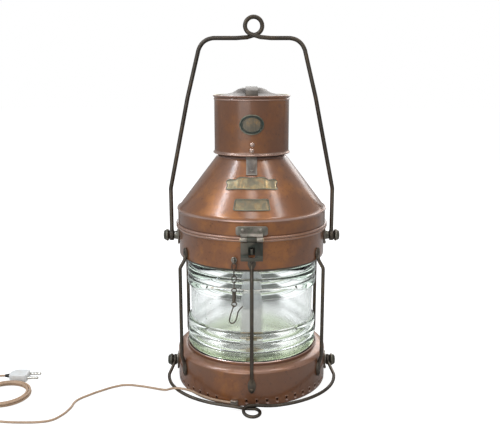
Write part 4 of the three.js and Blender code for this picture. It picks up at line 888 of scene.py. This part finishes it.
def makeChimney(c):
    low, high = nodeBox("chimney")
    radius, bead, tall, wall = c["radius"], c["bead"], c["beadTall"], c["wall"]
    roll = (bead - radius) / 2 + 0.5
    bottom, top = low.z + 1.5, high.z
    profile = [
        (radius - wall, bottom), *arc((bead - roll, low.z + roll), roll, -100, 80, 8),
        (radius + 0.5, bottom + tall * 0.75), (radius, bottom + tall), (radius, bottom + tall + 2),
        (radius, top - tall * 2.5 - 2), (radius, top - tall * 2.5), (radius + 0.7, top - tall * 2.3),
        (radius + 0.7, top - tall * 1.9), (radius, top - tall * 1.6), (radius, top - tall * 1.2),
        *arc((bead - roll * 0.8, top - roll * 0.8), roll * 0.8, -60, 120, 8), (radius - wall, top - 0.6)]
    pipe = spun("chimney_drum", profile, 128)
    heads = [rivet((x, -radius + 0.1, z), (0, -1, 0), c["rivetRadius"], c["rivetRise"]) for x, z in c["rivets"]]
    spares = [copyOf(head, turnZ(turn)) for turn in (120, 240) for head in heads]
    pipe = joinPieces([pipe, *heads, *spares], "chimney_drum")
    finishPiece(pipe, "agedCopper", "hood", "copper", "chimney")
    finishFaces(pipe, "dullSheet", lambda p, n: facesAxis(p, n, 0.2))
    # painted highlight: lighter copper on the chimney's rolled foot
    finishFaces(pipe, "highlightCopper",
                lambda p, n: p.z < (bottom + tall) * mm and p.xy.length > (radius - 0.2) * mm)
    foot, head = c["rivetBand"]
    finishFaces(pipe, "wornCopper",
                lambda p, n: p.xy.length > (radius + 0.12) * mm and foot * mm < p.z < head * mm)
    print("chimney ready")


makeChimney(chimneySet)


# lid: a low dome in the chimney's rim, with its strap and the three stays of the chimney
lidSet = {"thick": 1.5, "crown": 13, "spread": 36, "rollEdge": 1.0, "strapEdge": 0.35, "stayEdge": 0.3}


def makeLid(c):
    low, high = nodeBox("chimney_lid")
    edge, thick, crown, spread = high.x, c["thick"], c["crown"], c["spread"]
    rise = high.z - low.z - thick
    upper = [(0, rise), (crown, rise), (crown + 3, rise * 0.97), (crown + 9, rise * 0.78),
             (spread - 7, rise * 0.42), (spread, rise * 0.28), (spread + 8, rise * 0.16), (edge - 2, 0.4)]
    line = [(r, low.z + thick + h) for r, h in upper]
    rim = arc((edge - 1, low.z + 1.2), c["rollEdge"], 70, -110, 6)
    lid = spun("chimney_cover", line + rim + [(r, z - thick) for r, z in reversed(line)], close=False)
    finishPiece(lid, "tarnishedSheet", "hood", "pewter", "chimney_lid")
    strap = dressedCopy("lid_strap", c["strapEdge"], "cover_strap")
    finishPiece(strap, "lidStrapMetal", "hood", "pewter", "lid_strap")
    for i in (1, 2, 3):
        stay = dressedCopy(f"chimney_bracket_{i}", c["stayEdge"], f"chimney_stay_{i}")
        finishPiece(stay, "strapMetal", "hood", "verdigris_brass", f"chimney_bracket_{i}")
    print("lid and stays ready")


makeLid(lidSet)


# bare plates: a flat outline with a raised border, sliced and then laid round the wall
# a border is a row of insets, each with its width and its step up or down
plateSet = {
    "thick": 1.2, "slice": 2.5, "ovalPoints": 56, "ovalField": 0.42, "corner": 0.06,
    "ovalBorder": [(0.3, 0.3), (1.6, 0), (0.5, -0.7), (1.2, 0), (0.4, 0.45), (0.5, 0), (0.4, -0.45)],
    "scrollBorder": [(0.25, 0.25), (1.1, 0), (0.4, -0.6)], "labelBorder": [(0.25, 0.25), (1.3, 0), (0.4, -0.6)]}
scrollShares = [(0, 0.86), (0.5, 1), (0.62, 0.5), (0.9, 0.62), (1, 0.15), (0.86, -0.32), (0.93, -1),
                (0.45, -0.72), (0, -0.8)]


def rounded(points, share=0.25):
    # cuts every corner of an outline once
    out = []
    for a, b in zip(points, points[1:] + points[:1]):
        out += [Vector(a).lerp(Vector(b), share), Vector(a).lerp(Vector(b), 1 - share)]
    return out


def halfSize(node):
    low, high = nodeBox(node)
    return (high.x - low.x) / 2, (high.z - low.z) / 2


def onBorder(x, z, rise):
    # the raised border, and the plate's own edge next to the wall
    return rise > clearance + plateSet["thick"] + 0.1 or rise < clearance + plateSet["thick"] * 0.3


def makePlate(name, node, outline, borders, wallAt, isRim, field, c):
    clearSelection()
    bpy.ops.mesh.primitive_circle_add(vertices=len(outline), fill_type="NGON", radius=mm)
    obj = bpy.context.object
    for v, p in zip(obj.data.vertices, outline):
        v.co = (p[0] * mm, p[1] * mm, 0)
    makeActive(obj)
    editAll()
    bpy.ops.mesh.normals_make_consistent(inside=False)
    bpy.ops.mesh.extrude_region_move(TRANSFORM_OT_translate={"value": (0, 0, c["thick"] * mm)})
    for width, depth in borders:
        bpy.ops.mesh.inset(thickness=width * mm, depth=depth * mm)
    half = max(abs(p[0]) for p in outline)
    for k in range(1, int(half / c["slice"]) + 1):
        for side in (-1, 1):
            sliceAcross(side * k * c["slice"] * mm)
    sliceAcross(0)
    closeEdit()
    middle = middleOf(node).z
    for v in obj.data.vertices:
        x, up, out = v.co / mm
        angle = x / wallAt(middle)
        reach = wallAt(middle + up) + clearance + out
        v.co = Vector((reach * math.sin(angle), -reach * math.cos(angle), middle + up)) * mm
    makeActive(named(obj, name))
    editAll()
    closeEdit()
    smooth(obj, 30)
    finishPiece(obj, field, "hood", "plate_brass", node)
    finishFaces(obj, "plateRim",
                lambda p, n: isRim(p.x / mm, p.z / mm - middle, p.xy.length / mm - wallAt(p.z / mm)))


def makePlates(c):
    wide, tall = halfSize("oval_plate")
    turns = [tau * i / c["ovalPoints"] for i in range(c["ovalPoints"])]
    oval = [(wide * math.cos(a), tall * math.sin(a)) for a in turns]
    makePlate("oval_badge", "oval_plate", oval, c["ovalBorder"], lambda z: chimneySet["radius"],
              lambda x, z, rise: (x / wide) ** 2 + (z / tall) ** 2 > c["ovalField"], "ovalBrass", c)
    wide, tall = halfSize("scroll_plate")
    right = [(u * wide, v * tall) for u, v in scrollShares]
    left = [(-x, y) for x, y in reversed(right[1:-1])]
    scroll = rounded(rounded(list(reversed(right + left))))
    makePlate("scroll_badge", "scroll_plate", scroll, c["scrollBorder"], coneAt, onBorder, "plateBrass", c)
    wide, tall = halfSize("label_plate")
    label = rounded([(-wide, -tall), (wide, -tall), (wide, tall), (-wide, tall)], c["corner"])
    makePlate("label_badge", "label_plate", label, c["labelBorder"], coneAt, onBorder, "plateBrass", c)
    print("plates ready")


makePlates(plateSet)


# guard rods: wire with a hammered, riveted pad at each end, made once and turned round
guardSet = {"count": 6, "radius": 126, "wire": 5.6, "top": 206, "foot": 57, "pad": 2.2, "padWidth": 12,
            "taper": 0.42, "upperPad": (212.5, 231), "lowerPad": (23, 48), "rivetHeight": 28,
            "rivetRadius": 3.1, "bend": 9, "flatEnd": 0.55}


def teardrop(name, face, foot, top, towardsWire, c):
    # a pad drawn as a circle, stretched to its length and narrowed at the wire's end
    clearSelection()
    middle, half = (foot + top) / 2, (top - foot) / 2
    bpy.ops.mesh.primitive_circle_add(vertices=40, fill_type="NGON", radius=mm, rotation=(quarterTurn, 0, 0))
    pad = bakePlace(bpy.context.object)
    for v in pad.data.vertices:
        x, z = v.co.x / mm, v.co.z / mm
        narrow = 1 - c["taper"] * max(0, z * towardsWire) ** 1.5
        v.co = Vector((x * c["padWidth"] / 2 * narrow, face, middle + z * half)) * mm
    makeActive(pad)
    editAll()
    bpy.ops.mesh.extrude_region_move(TRANSFORM_OT_translate={"value": (0, -c["pad"] * mm, 0)})
    bpy.ops.mesh.inset(thickness=0.5 * mm, depth=0)
    bpy.ops.transform.translate(value=(0, -0.4 * mm, 0))
    closeEdit()
    return smooth(named(pad, name))


def makeGuards(c):
    collar, base = nodeBox("collar")[1].x + clearance, nodeBox("base_shell")[1].x + clearance
    wire, pad, upper, lower = c["wire"], c["pad"], c["upperPad"], c["lowerPad"]
    start = -collar - pad * 0.4 - wire * 0.25
    corners = [
        (0, start, upper[0] + 8), (0, start, upper[0]), (0, -c["radius"], c["top"] - wire),
        (0, -c["radius"], c["foot"]), (0, -base - wire / 2, lower[1]), (0, -base - wire * 0.35, lower[1] - 9)]
    line = bent(corners, c["bend"], 8)
    radii = [c["flatEnd"], *[1.0] * (len(line) - 2), c["flatEnd"]]
    pieces = [wired("guard", [p * mm for p in line], wire * mm, smoothLine=False, sides=5, radii=radii),
              teardrop("top_pad", -collar, *upper, -1, c), teardrop("foot_pad", -base, *lower, 1, c),
              rivet((0, -collar - pad, upper[1] - 6), (0, -1, 0), c["rivetRadius"], 1.5),
              rivet((0, -base - pad, c["rivetHeight"]), (0, -1, 0), c["rivetRadius"], 1.6)]
    first = joinPieces(pieces, "guard_1")
    for i in range(c["count"]):
        guard = copyOf(first, turnZ(i * 360 / c["count"]), f"guard_wire_{i + 1}")
        finishPiece(guard, "darkBronze", "lantern", "bronze", f"guard_rod_{i + 1}")
    bpy.data.objects.remove(first)
    print("guard rods ready")


makeGuards(guardSet)


# ears: riveted plate, boss and stud, with a domed knob outside the bail's eye
earSet = {"wide": 24, "tall": 26, "thick": 2, "corner": 5, "edge": 0.5, "boss": 7, "pin": 3.9, "neck": 2.8,
          "knob": 9.6, "knobDepth": 9, "rivetRadius": 2.6, "rivetRise": 1.2, "rivetInset": (3.1, 3.3)}


def earPlate(face, height, c):
    clearSelection()
    thick = c["thick"] * mm
    bpy.ops.mesh.primitive_cube_add(size=1, location=((face + c["thick"] / 2) * mm, 0, height * mm),
                                    scale=(thick, c["wide"] * mm, c["tall"] * mm))
    plate = bakePlace(bpy.context.object)
    editAll()
    bpy.ops.mesh.select_mode(type="EDGE")
    bpy.ops.mesh.select_all(action="DESELECT")
    bpy.ops.object.mode_set(mode="OBJECT")
    for edge in plate.data.edges:
        a, b = (plate.data.vertices[i].co for i in edge.vertices)
        edge.select = abs(a.x - b.x) > thick * 0.9
    bpy.ops.object.mode_set(mode="EDIT")
    bpy.ops.mesh.bevel(offset=c["corner"] * mm, segments=6, affect="EDGES")
    bpy.ops.object.mode_set(mode="OBJECT")
    bevel(plate, c["edge"] * mm, 2, 35)
    return smooth(plate)


def makeEars(level, wall, bail, c):
    face, height, eye = wall + clearance, bail["height"], bail["wire"] / 2 + clearance
    bossEnd, pinEnd = bail["leg"] - eye, bail["leg"] + eye
    boss, pin, neck, knob, depth = c["boss"], c["pin"], c["neck"], c["knob"], c["knobDepth"]
    front = face + c["thick"]
    plate = earPlate(face, height, c)
    profile = [
        (0, face), (boss + 1.5, face), (boss + 1.5, front + 0.2),
        *arc((boss + 1.2, front + 1.4), 1.2, 270, 180, 4), (boss - 0.7, bossEnd - 0.8), (boss - 1.4, bossEnd),
        (pin, bossEnd), (pin, pinEnd), (neck, pinEnd), (neck, pinEnd + depth / 2), (0, pinEnd + depth / 2)]
    stud = alongX(spun("stud", profile, 36, close=False), 0, height)
    aside, above = c["wide"] / 2 - c["rivetInset"][0], c["tall"] / 2 - c["rivetInset"][1]
    heads = [rivet((front, s * aside, height + s * above), (1, 0, 0), c["rivetRadius"], c["rivetRise"])
             for s in (-1, 1)]
    ear = joinPieces([plate, stud, *heads], "ear")
    start, bore = pinEnd + clearance, neck + clearance
    profile = [
        (bore, start), (knob * 0.66, start), (knob * 0.8, start + 0.5),
        *arc((knob - 2.6, start + 3.2), 2.6, -55, 60, 8),
        *arc((knob * 0.45, start + depth - 3.4), (knob * 0.42, 3.4), 40, 90, 5), (0, start + depth),
        (0, start + depth / 2 + clearance), (bore, start + depth / 2 + clearance)]
    cap = alongX(spun("knob", profile, 48), 0, height)
    for side, turn in (("right", 0), ("left", 180)):
        for piece, name, node in ((ear, "ear", "stud"), (cap, "cap", "knob")):
            piece = copyOf(piece, turnZ(turn), f"{level}_{name}_{side}")
            finishPiece(piece, "verdigrisBrass", "lantern", "verdigris_brass", f"{level}_{node}_{side}")
    bpy.data.objects.remove(ear)
    bpy.data.objects.remove(cap)


# bails: each one length of round bar with a crossed loop in its middle and a flattened eye at each end
topBailSet = {"wire": 6.5, "leg": 127.6, "height": 237.4, "bend": 313, "shoulder": (98.6, 454), "corner": 76.4,
              "bar": 543, "bendRadius": 24, "loop": 13.1, "loopMiddle": 561, "loopOffset": 3,
              "loopTurn": (-68, 248), "loopSteps": 48, "bore": 4.2, "eye": 8.8}
lowerBailSet = {"wire": 5, "leg": 126.6, "height": 24, "spread": 132, "straight": 45, "reach": 133,
                "loop": 12.3, "loopTurn": (-66, 246), "loopSteps": 44, "bore": 4.2, "eye": 8.8,
                "sweep": 80, "sweepSteps": 24}

makeEars("upper", nodeBox("collar")[1].x, topBailSet, earSet)
makeEars("lower", nodeBox("base_shell")[1].x, lowerBailSet, earSet)
print("ears and knobs ready")


def eyeRing(x, height, c):
    half, inner, outer, edge = c["wire"] / 2, c["bore"], c["eye"], 1.4
    profile = [
        (inner, x - half + 0.4), (inner + 0.4, x - half), (outer - edge, x - half),
        *arc((outer - edge, x - half + edge), edge, -90, 0, 4),
        *arc((outer - edge, x + half - edge), edge, 0, 90, 4),
        (inner + 0.4, x + half), (inner, x + half - 0.4)]
    return alongX(spun("eye", profile, 40), 0, height)


def loopPoints(c):
    # (along, up, aside) of a loop that passes beside its own start
    start, end = c["loopTurn"]
    lift = c["wire"] / 2 + clearance
    shares = [i / c["loopSteps"] for i in range(c["loopSteps"] + 1)]
    turns = [math.radians(start + (end - start) * t) for t in shares]
    return [(c["loop"] * math.cos(a), c["loop"] * math.sin(a), lift - 2 * lift * t)
            for a, t in zip(turns, shares)]


def softened(points, rounds=3, short=14):
    # evens the short corners of a path and keeps its long straight runs
    for _ in range(rounds):
        eased = [points[0]]
        for a, b, d in zip(points, points[1:], points[2:]):
            near = (b - a).length < short * mm and (d - b).length < short * mm
            eased.append((a + b * 2 + d) / 4 if near else b)
        points = eased + [points[-1]]
    return points


def bailFrom(name, halves, entry, loop, leave, eyeHeight, c):
    path = [*halves[0], Vector(entry), *[Vector(p) for p in loop], Vector(leave), *halves[1][::-1]]
    bar = wired(name, softened([p * mm for p in path]), c["wire"] * mm, smoothLine=False)
    return joinPieces([bar, *[eyeRing(s * c["leg"], eyeHeight, c) for s in (-1, 1)]], name)


def makeTopBail(c):
    lift, away, offset, bar = c["wire"] / 2 + clearance, c["loop"] * 0.75, c["loopOffset"], c["bar"]
    loop = [(offset + u, aside, c["loopMiddle"] + v) for u, v, aside in loopPoints(c)]
    halves = []
    for s in (-1, 1):
        corners = [(s * c["leg"], 0, c["height"] + c["eye"] - c["wire"] / 4), (s * c["leg"], 0, c["bend"]),
                   (s * c["shoulder"][0], 0, c["shoulder"][1]), (s * c["corner"], 0, bar),
                   (offset + s * c["loop"] * 2, 0, bar)]
        halves.append(bent(corners, c["bendRadius"], 10))
    rise = bar + c["wire"] * 0.2
    bail = bailFrom("top_bail_bar", halves, (offset - away, lift * 0.9, rise), loop,
                    (offset + away, -lift * 0.9, rise), c["height"], c)
    finishPiece(bail, "darkBronze", "top_bail", "bronze", "top_bail")


def makeLowerBail(c):
    # drawn flat, then turned down until the loop rests on the floor
    lift, away = c["wire"] / 2 + clearance, c["loop"] * 0.8
    middle = -c["reach"] - c["loop"] * 0.95
    loop = [(u, middle - v, -aside) for u, v, aside in loopPoints(c)]
    halves = []
    for s in (-1, 1):
        line = [Vector((s * c["leg"], -c["eye"] + c["wire"] / 4, 0))]
        for i in range(c["sweepSteps"] + 1):
            a = math.radians(90 - i * c["sweep"] / c["sweepSteps"])
            forward = -c["straight"] - (c["reach"] - c["straight"]) * math.cos(a)
            line.append(Vector((s * c["spread"] * math.sin(a), forward, 0)))
        halves.append(line)
    bail = bailFrom("lower_bail_bar", halves, (-away, -c["reach"], -lift), loop,
                    (away, -c["reach"], lift), 0, c)
    drop = math.asin((c["height"] - c["wire"] / 2 - lift / 6) / (c["loop"] - middle))
    bail.data.transform(Matrix.Translation((0, 0, c["height"] * mm)) @ Matrix.Rotation(drop, 4, "X"))
    finishPiece(bail, "darkBronze", "lower_bail", "bronze", "lower_bail")


makeTopBail(topBailSet)
makeLowerBail(lowerBailSet)
print("bails ready")


# lamp: stem on the tinned floor, porcelain holder and frosted tubular bulb
lampSet = {"stem": 9, "flange": 19.8, "bulbWall": 0.8, "mouth": 0.8, "ribs": 3, "ribShare": (0.62, 0.08)}


def makeStem(c):
    low, high = nodeBox("lamp_stem")
    stem, flange, foot, top = c["stem"], c["flange"], low.z, high.z
    profile = [
        (0, foot), (flange - 0.5, foot), (flange, foot + 0.6), (flange - 0.6, foot + 1.6), (stem + 3, foot + 2),
        *arc((stem + 2, foot + 4), 2, 270, 180, 4), (stem, top - 2.5), (stem + 0.8, top - 2),
        (stem + 0.8, top - 0.5), (stem, top), (0, top)]
    pillar = spun("lamp_pillar", profile, 64, close=False)
    finishPiece(pillar, "plateBrass", "lantern", "plate_brass", "lamp_stem")


def makeHolder(mouth, c):
    low, high = nodeBox("lamp_holder")
    wide, foot, top = high.x, low.z, high.z
    ribs = []
    for k in range(c["ribs"]):
        z = foot + (top - foot) * (c["ribShare"][0] + c["ribShare"][1] * k)
        ribs += [(wide, z), (wide - 0.8, z + 0.8), (wide - 0.8, z + 1.6), (wide, z + 2.4)]
    profile = [
        (0, foot), (wide * 0.78, foot),
        *arc((wide * 0.78, foot + wide * 0.34), (wide * 0.22, wide * 0.34), -80, 0, 8),
        *ribs, (wide, top - wide * 0.2), *arc((wide - 2, top - 2), 2, 0, 90, 5), (mouth + 0.6, top),
        (mouth, top - 0.6), (mouth, top - wide), (0, top - wide)]
    holder = spun("porcelain_holder", profile, 72, close=False)
    finishPiece(holder, "porcelain", "lantern", "porcelain", "lamp_holder")
    return top


def makeBulb(neck, holderTop, c):
    low, high = nodeBox("lamp_bulb")
    bulb, wall = high.x, c["bulbWall"]
    shoulder = holderTop + bulb * 0.6
    outer = [(neck, low.z + 1), (neck, holderTop), *arc((neck, shoulder), (bulb - neck, bulb * 0.5), -70, 0, 6),
             (bulb, shoulder + bulb * 0.6)]
    skin = outer + arc((0, high.z - bulb), bulb, 0, 90, 14)
    inner = [(max(r - wall, 0), z - (wall if i >= len(outer) else 0)) for i, (r, z) in enumerate(skin)]
    profile = [(0, low.z), (neck - 0.6, low.z), *skin, (0, high.z - wall), *inner[-2::-1], (0, low.z + 1.4)]
    tube = spun("tubular_bulb", profile, 72, close=False)
    finishPiece(tube, "bulbGlass", "lantern", "bulb_glass", "lamp_bulb")


def makeLamp(c):
    mouth = nodeBox("lamp_bulb")[1].x * c["mouth"]
    makeStem(c)
    makeBulb(mouth - clearance, makeHolder(mouth, c), c)
    print("lamp ready")


makeLamp(lampSet)


# latch, hasp, staple and hinge: the frame's own forms with softened edges and turned pins
fittingSet = {
    "edge": 0.35,
    # node, piece, finish, body and slot
    "copied": (("latch_leaf", "latch_hinge_leaf", "verdigrisBrass", "hood", "verdigris_brass"),
               # the hasp and staple take the darker verdigris, which holds painted shade
               ("hasp", "latch_hasp", "darkVerdigrisAndShade", "hasp", "verdigris_brass"),
               ("latch_staple", "latch_eye", "darkVerdigrisAndShade", "lantern", "plate_brass"),
               ("hinge_leaf_lower", "rear_hinge_lower", "verdigrisBrass", "lantern", "verdigris_brass"),
               ("hinge_leaf_upper", "rear_hinge_upper", "verdigrisBrass", "hood", "verdigris_brass"),
               ("chain_eye", "chain_anchor", "verdigrisBrass", "lantern", "verdigris_brass"),
               ("cord_gland", "cord_entry", "verdigrisBrass", "lantern", "plate_brass")),
    # node, piece, body, radius and the width between the heads
    "pins": (("latch_pin", "latch_pivot", "hood", 1.7, 32), ("hinge_pin", "rear_pivot", "lantern", 2, 40))}


def makeFittings(c):
    for node, name, finish, body, slot in c["copied"]:
        finishPiece(dressedCopy(node, c["edge"], name), finish, body, slot, node)
    for node, name, body, radius, width in c["pins"]:
        middle, inner, outer = middleOf(node), width / 2 + clearance, nodeBox(node)[1].x
        head = (radius * 1.7, outer - inner)
        profile = [(0, -outer), *arc((0, -inner), head, -85, 0, 6), (radius, -inner), (radius, inner),
                   *arc((0, inner), head, 0, 85, 6), (0, outer)]
        pin = alongX(spun(name, profile, 24, close=False), middle.y, middle.z)
        finishPiece(pin, "plateBrass", body, "plate_brass", node)
    print("latch and hinge ready")


makeFittings(fittingSet)


# chain and hook: links of bent wire, a bound shank, a small ring and the open hook
chainSet = {"x": -25.5, "y": -119.4, "wire": 1.6, "links": 4, "hookWire": 1.8, "ring": 3.4, "bound": 3,
            "boundLong": 15, "boundTurns": 8, "boundSteps": 14, "shank": 1.4, "hookWide": 20, "hookDrop": 26}
hookShares = [(0, -0.1), (-0.12, 0.16), (-0.3, 0.62), (-0.34, 0.86), (-0.2, 1), (0.06, 0.9), (0.2, 0.62),
              (0.3, 0.3), (0.6, 0)]


def bentRing(name, place, radius, straight, wire, turned):
    # a ring of wire in the XZ plane, its halves drawn apart to make it long
    clearSelection()
    bpy.ops.mesh.primitive_torus_add(major_segments=32, minor_segments=12, major_radius=radius * mm,
                                     minor_radius=wire / 2 * mm, rotation=(quarterTurn, 0, 0))
    obj = bakePlace(bpy.context.object)
    if straight > 0:
        pick(obj, lambda p: p.z > 0.01 * mm)
        bpy.ops.transform.translate(value=(0, 0, straight / 2 * mm))
        pick(obj, lambda p: p.z < -0.01 * mm)
        bpy.ops.transform.translate(value=(0, 0, -straight / 2 * mm))
        bpy.ops.object.mode_set(mode="OBJECT")
    obj.data.transform(Matrix.Translation(Vector(place) * mm) @ turnZ(90 if turned else 0))
    return smooth(named(obj, name), 60)


def makeLinks(c):
    x, y, wire = c["x"], c["y"], c["wire"]
    for i in range(c["links"]):
        node = f"chain_link_{i + 1}"
        low, high = nodeBox(node)
        radius = (max(high.x - low.x, high.y - low.y) - wire) / 2
        straight = high.z - low.z - wire - radius * 2
        link = bentRing(f"chain_ring_{i + 1}", (x, y, (low.z + high.z) / 2), radius, straight, wire, i % 2 == 1)
        finishPiece(link, "darkBronze", "chain", "bronze", node)


def makeHook(c):
    x, y, wire, ring, long = c["x"], c["y"], c["hookWire"], c["ring"], c["boundLong"]
    eyeMiddle = nodeBox("snap_hook")[1].z - ring - wire / 2
    eye = bentRing("hook_eye", (x, y, eyeMiddle), ring, 0, wire, c["links"] % 2 == 1)
    top, turn = eyeMiddle - ring + wire / 4, c["bound"] - wire / 2
    steps = c["boundTurns"] * c["boundSteps"]
    helix = []
    for i in range(steps + 1):
        a = tau * i / c["boundSteps"]
        helix.append(Vector((x + turn * math.cos(a), y + turn * math.sin(a), top - long * i / steps)) * mm)
    binding = wired("binding", helix, wire * mm, smoothLine=False, sides=3)
    line = [Vector((x, y, top - long * t)) * mm for t in (-0.02, 1.02)]
    shank = wired("shank", line, wire * c["shank"] * mm, smoothLine=False, sides=3)
    ringMiddle = top - long - ring + wire / 4
    lowRing = bentRing("low_ring", (x, y, ringMiddle), ring, 0, wire, False)
    line = [(x + u * c["hookWide"], y, ringMiddle - ring - v * c["hookDrop"]) for u, v in hookShares]
    bow = wired("bow", [Vector(p) * mm for p in line], wire * mm, sides=4)
    hook = joinPieces([eye, binding, shank, lowRing, bow], "chain_hook")
    finishPiece(hook, "darkBronze", "hook", "bronze", "snap_hook")


makeLinks(chainSet)
makeHook(chainSet)
print("chain and hook ready")


# plug: a flat moulded body with two round pins and a strain relief
plugSet = {"cuts": (0.3, 0.88), "backTaper": (1, 0.5, 0.8), "frontTaper": (1, 0.86, 0.88), "edge": 2.6,
           "grooves": 4}


def makePlugBody(c):
    low, high = nodeBox("plug_body")
    middle = (low + high) / 2
    clearSelection()
    bpy.ops.mesh.primitive_cube_add(size=1, location=middle * mm, scale=(high - low) * mm)
    body = bakePlace(bpy.context.object)
    editAll()
    for share in c["cuts"]:
        sliceAcross((low.x + (high.x - low.x) * share) * mm)
    bpy.ops.object.mode_set(mode="OBJECT")
    pick(body, lambda p: p.x < (low.x + 0.1) * mm)
    bpy.ops.transform.resize(value=c["backTaper"], center_override=middle * mm)
    pick(body, lambda p: p.x > (high.x - 0.1) * mm)
    bpy.ops.transform.resize(value=c["frontTaper"], center_override=middle * mm)
    bpy.ops.object.mode_set(mode="OBJECT")
    bevel(body, c["edge"] * mm, 5, 25)
    smooth(named(body, "plug_shell"), 50)
    return finishPiece(body, "plugWhite", "lantern", "plug_white", "plug_body")


def makePlugPin(i):
    low, high = nodeBox(f"plug_pin_{i}")
    radius, middle = (high.z - low.z) / 2, middleOf(f"plug_pin_{i}")
    profile = [(0, low.x), (radius, low.x), (radius, high.x - 2),
               *arc((radius - 1.2, high.x - 1.4), (1.2, 1.4), 0, 80, 5), (0, high.x)]
    pin = alongX(spun(f"plug_prong_{i}", profile, 24, close=False), middle.y, middle.z)
    return finishPiece(pin, "pinMetal", "lantern", "pin_metal", f"plug_pin_{i}")


def makePlugRelief(c):
    low, high = nodeBox("plug_relief")
    foot, radius, long, middle = low.x, (high.y - low.y) / 2, high.x - low.x, middleOf("plug_relief")
    ridges = []
    for k in range(c["grooves"]):
        x = foot + long * (0.1 + 0.8 * k / c["grooves"])
        r = radius * (0.72 + 0.26 * k / c["grooves"])
        ridges += [(r, x), (r, x + long * 0.11), (r - 0.4, x + long * 0.12), (r - 0.4, x + long * 0.19)]
    profile = [(0, foot), (radius * 0.68, foot), *ridges, (radius, high.x - 0.6), (radius, high.x), (0, high.x)]
    relief = alongX(spun("plug_strain_relief", profile, 32, close=False), middle.y, middle.z)
    return finishPiece(relief, "oldRubber", "lantern", "rubber", "plug_relief")


plugBody = makePlugBody(plugSet)
plugPins = [makePlugPin(i) for i in (1, 2)]
plugPieces = [plugBody, makePlugRelief(plugSet), *plugPins]
print("plug ready")


def makeCord(c):
    cord = wired("lamp_lead", route, c["diameter"], keepCurve=True, sides=4)
    finishPiece(cord, "cordSheath", "lantern", "cord_skin", "lamp_cord", "cord_coil", "cord_tail")
    print("cord ready")


makeCord(cordSet)


# studio, in metres and watts: pale floor, white surround and five softboxes
studioSet = {
    "floorSize": 14, "floorPlace": (0, 1.2, -0.0004), "floor": (0.55, 0.55, 0.55), "floorTone": (0.97, 1.0),
    "floorGlow": 0.8, "surround": 1.0, "mirrored": 0.38,
    # place, what it points at, size, power and colour
    "softboxes": {
        "leftBox": ((-1.25, -0.45, 1.75), (0, 0, 0.3), (0.16, 1.1), 13, (0.78, 0.89, 1.0)),
        "rightBox": ((0.85, -0.45, 1.9), (0, 0, 0.3), (0.2, 0.7), 5, (1, 1, 1)),
        "topBox": ((0.0, -0.9, 2.1), (0, 0, 0.2), (0.4, 0.7), 4.5, (1, 1, 1)),
        "frontBox": ((-0.9, -2.2, 0.9), (0, 0, 0.25), (1.6, 1.4), 14, (1, 1, 1)),
        "backBox": ((0.4, 1.6, 1.1), (0, 0, 0.3), (1.8, 1.2), 14, (1, 1, 1))}}


def seenDirectly(tree):
    # one for what the camera sees, also through the glass, and nought in reflections
    rays = addNode(tree, "LightPath").outputs
    return plus(tree, rays["Is Camera Ray"], rays["Transmission Depth"], True)


def makeFloor(c):
    clearSelection()
    bpy.ops.mesh.primitive_plane_add(size=c["floorSize"], location=c["floorPlace"])
    floor = bakePlace(bpy.context.object)
    floor.name = "studio_floor"
    tree, shader = shaderFor("studioFloor")
    tone = ramp(tree, noiseOf(tree, objectCoords(tree), 1.2, 2, 0.55), 0.3, 0.7, *c["floorTone"])
    feed(tree, shader.inputs["Base Color"], mixColour(tree, 1.0, c["floor"], tone, "MULTIPLY"))
    feed(tree, shader.inputs["Roughness"], 0.9)
    feed(tree, shader.inputs["Specular IOR Level"], 0.1)
    feed(tree, shader.inputs["Emission Color"], (1, 1, 1, 1))
    feed(tree, shader.inputs["Emission Strength"], times(tree, seenDirectly(tree), c["floorGlow"]))
    floor.data.materials.append(finishes["studioFloor"])


def makeSurround(c):
    world = bpy.data.worlds.new("studio")
    bpy.context.scene.world = world
    world.use_nodes = True
    tree = world.node_tree
    background = tree.nodes["Background"].inputs
    feed(tree, background["Strength"], ramp(tree, seenDirectly(tree), 0, 1, c["mirrored"], c["surround"]))
    feed(tree, background["Color"], (1, 1, 1, 1))


def addSoftbox(name, place, target, size, power, colour):
    clearSelection()
    bpy.ops.object.light_add(type="AREA", location=place)
    lamp = bpy.context.object
    lamp.name = name
    lamp.data.shape = "RECTANGLE"
    lamp.data.size, lamp.data.size_y = size
    lamp.data.energy = power
    lamp.data.color = colour
    lamp.rotation_euler = (Vector(target) - Vector(place)).to_track_quat("-Z", "Y").to_euler()


makeFloor(studioSet)
makeSurround(studioSet)
for name, values in studioSet["softboxes"].items():
    addSoftbox(name, *values)
bpy.context.scene.view_settings.view_transform = "Standard"
print("studio ready")
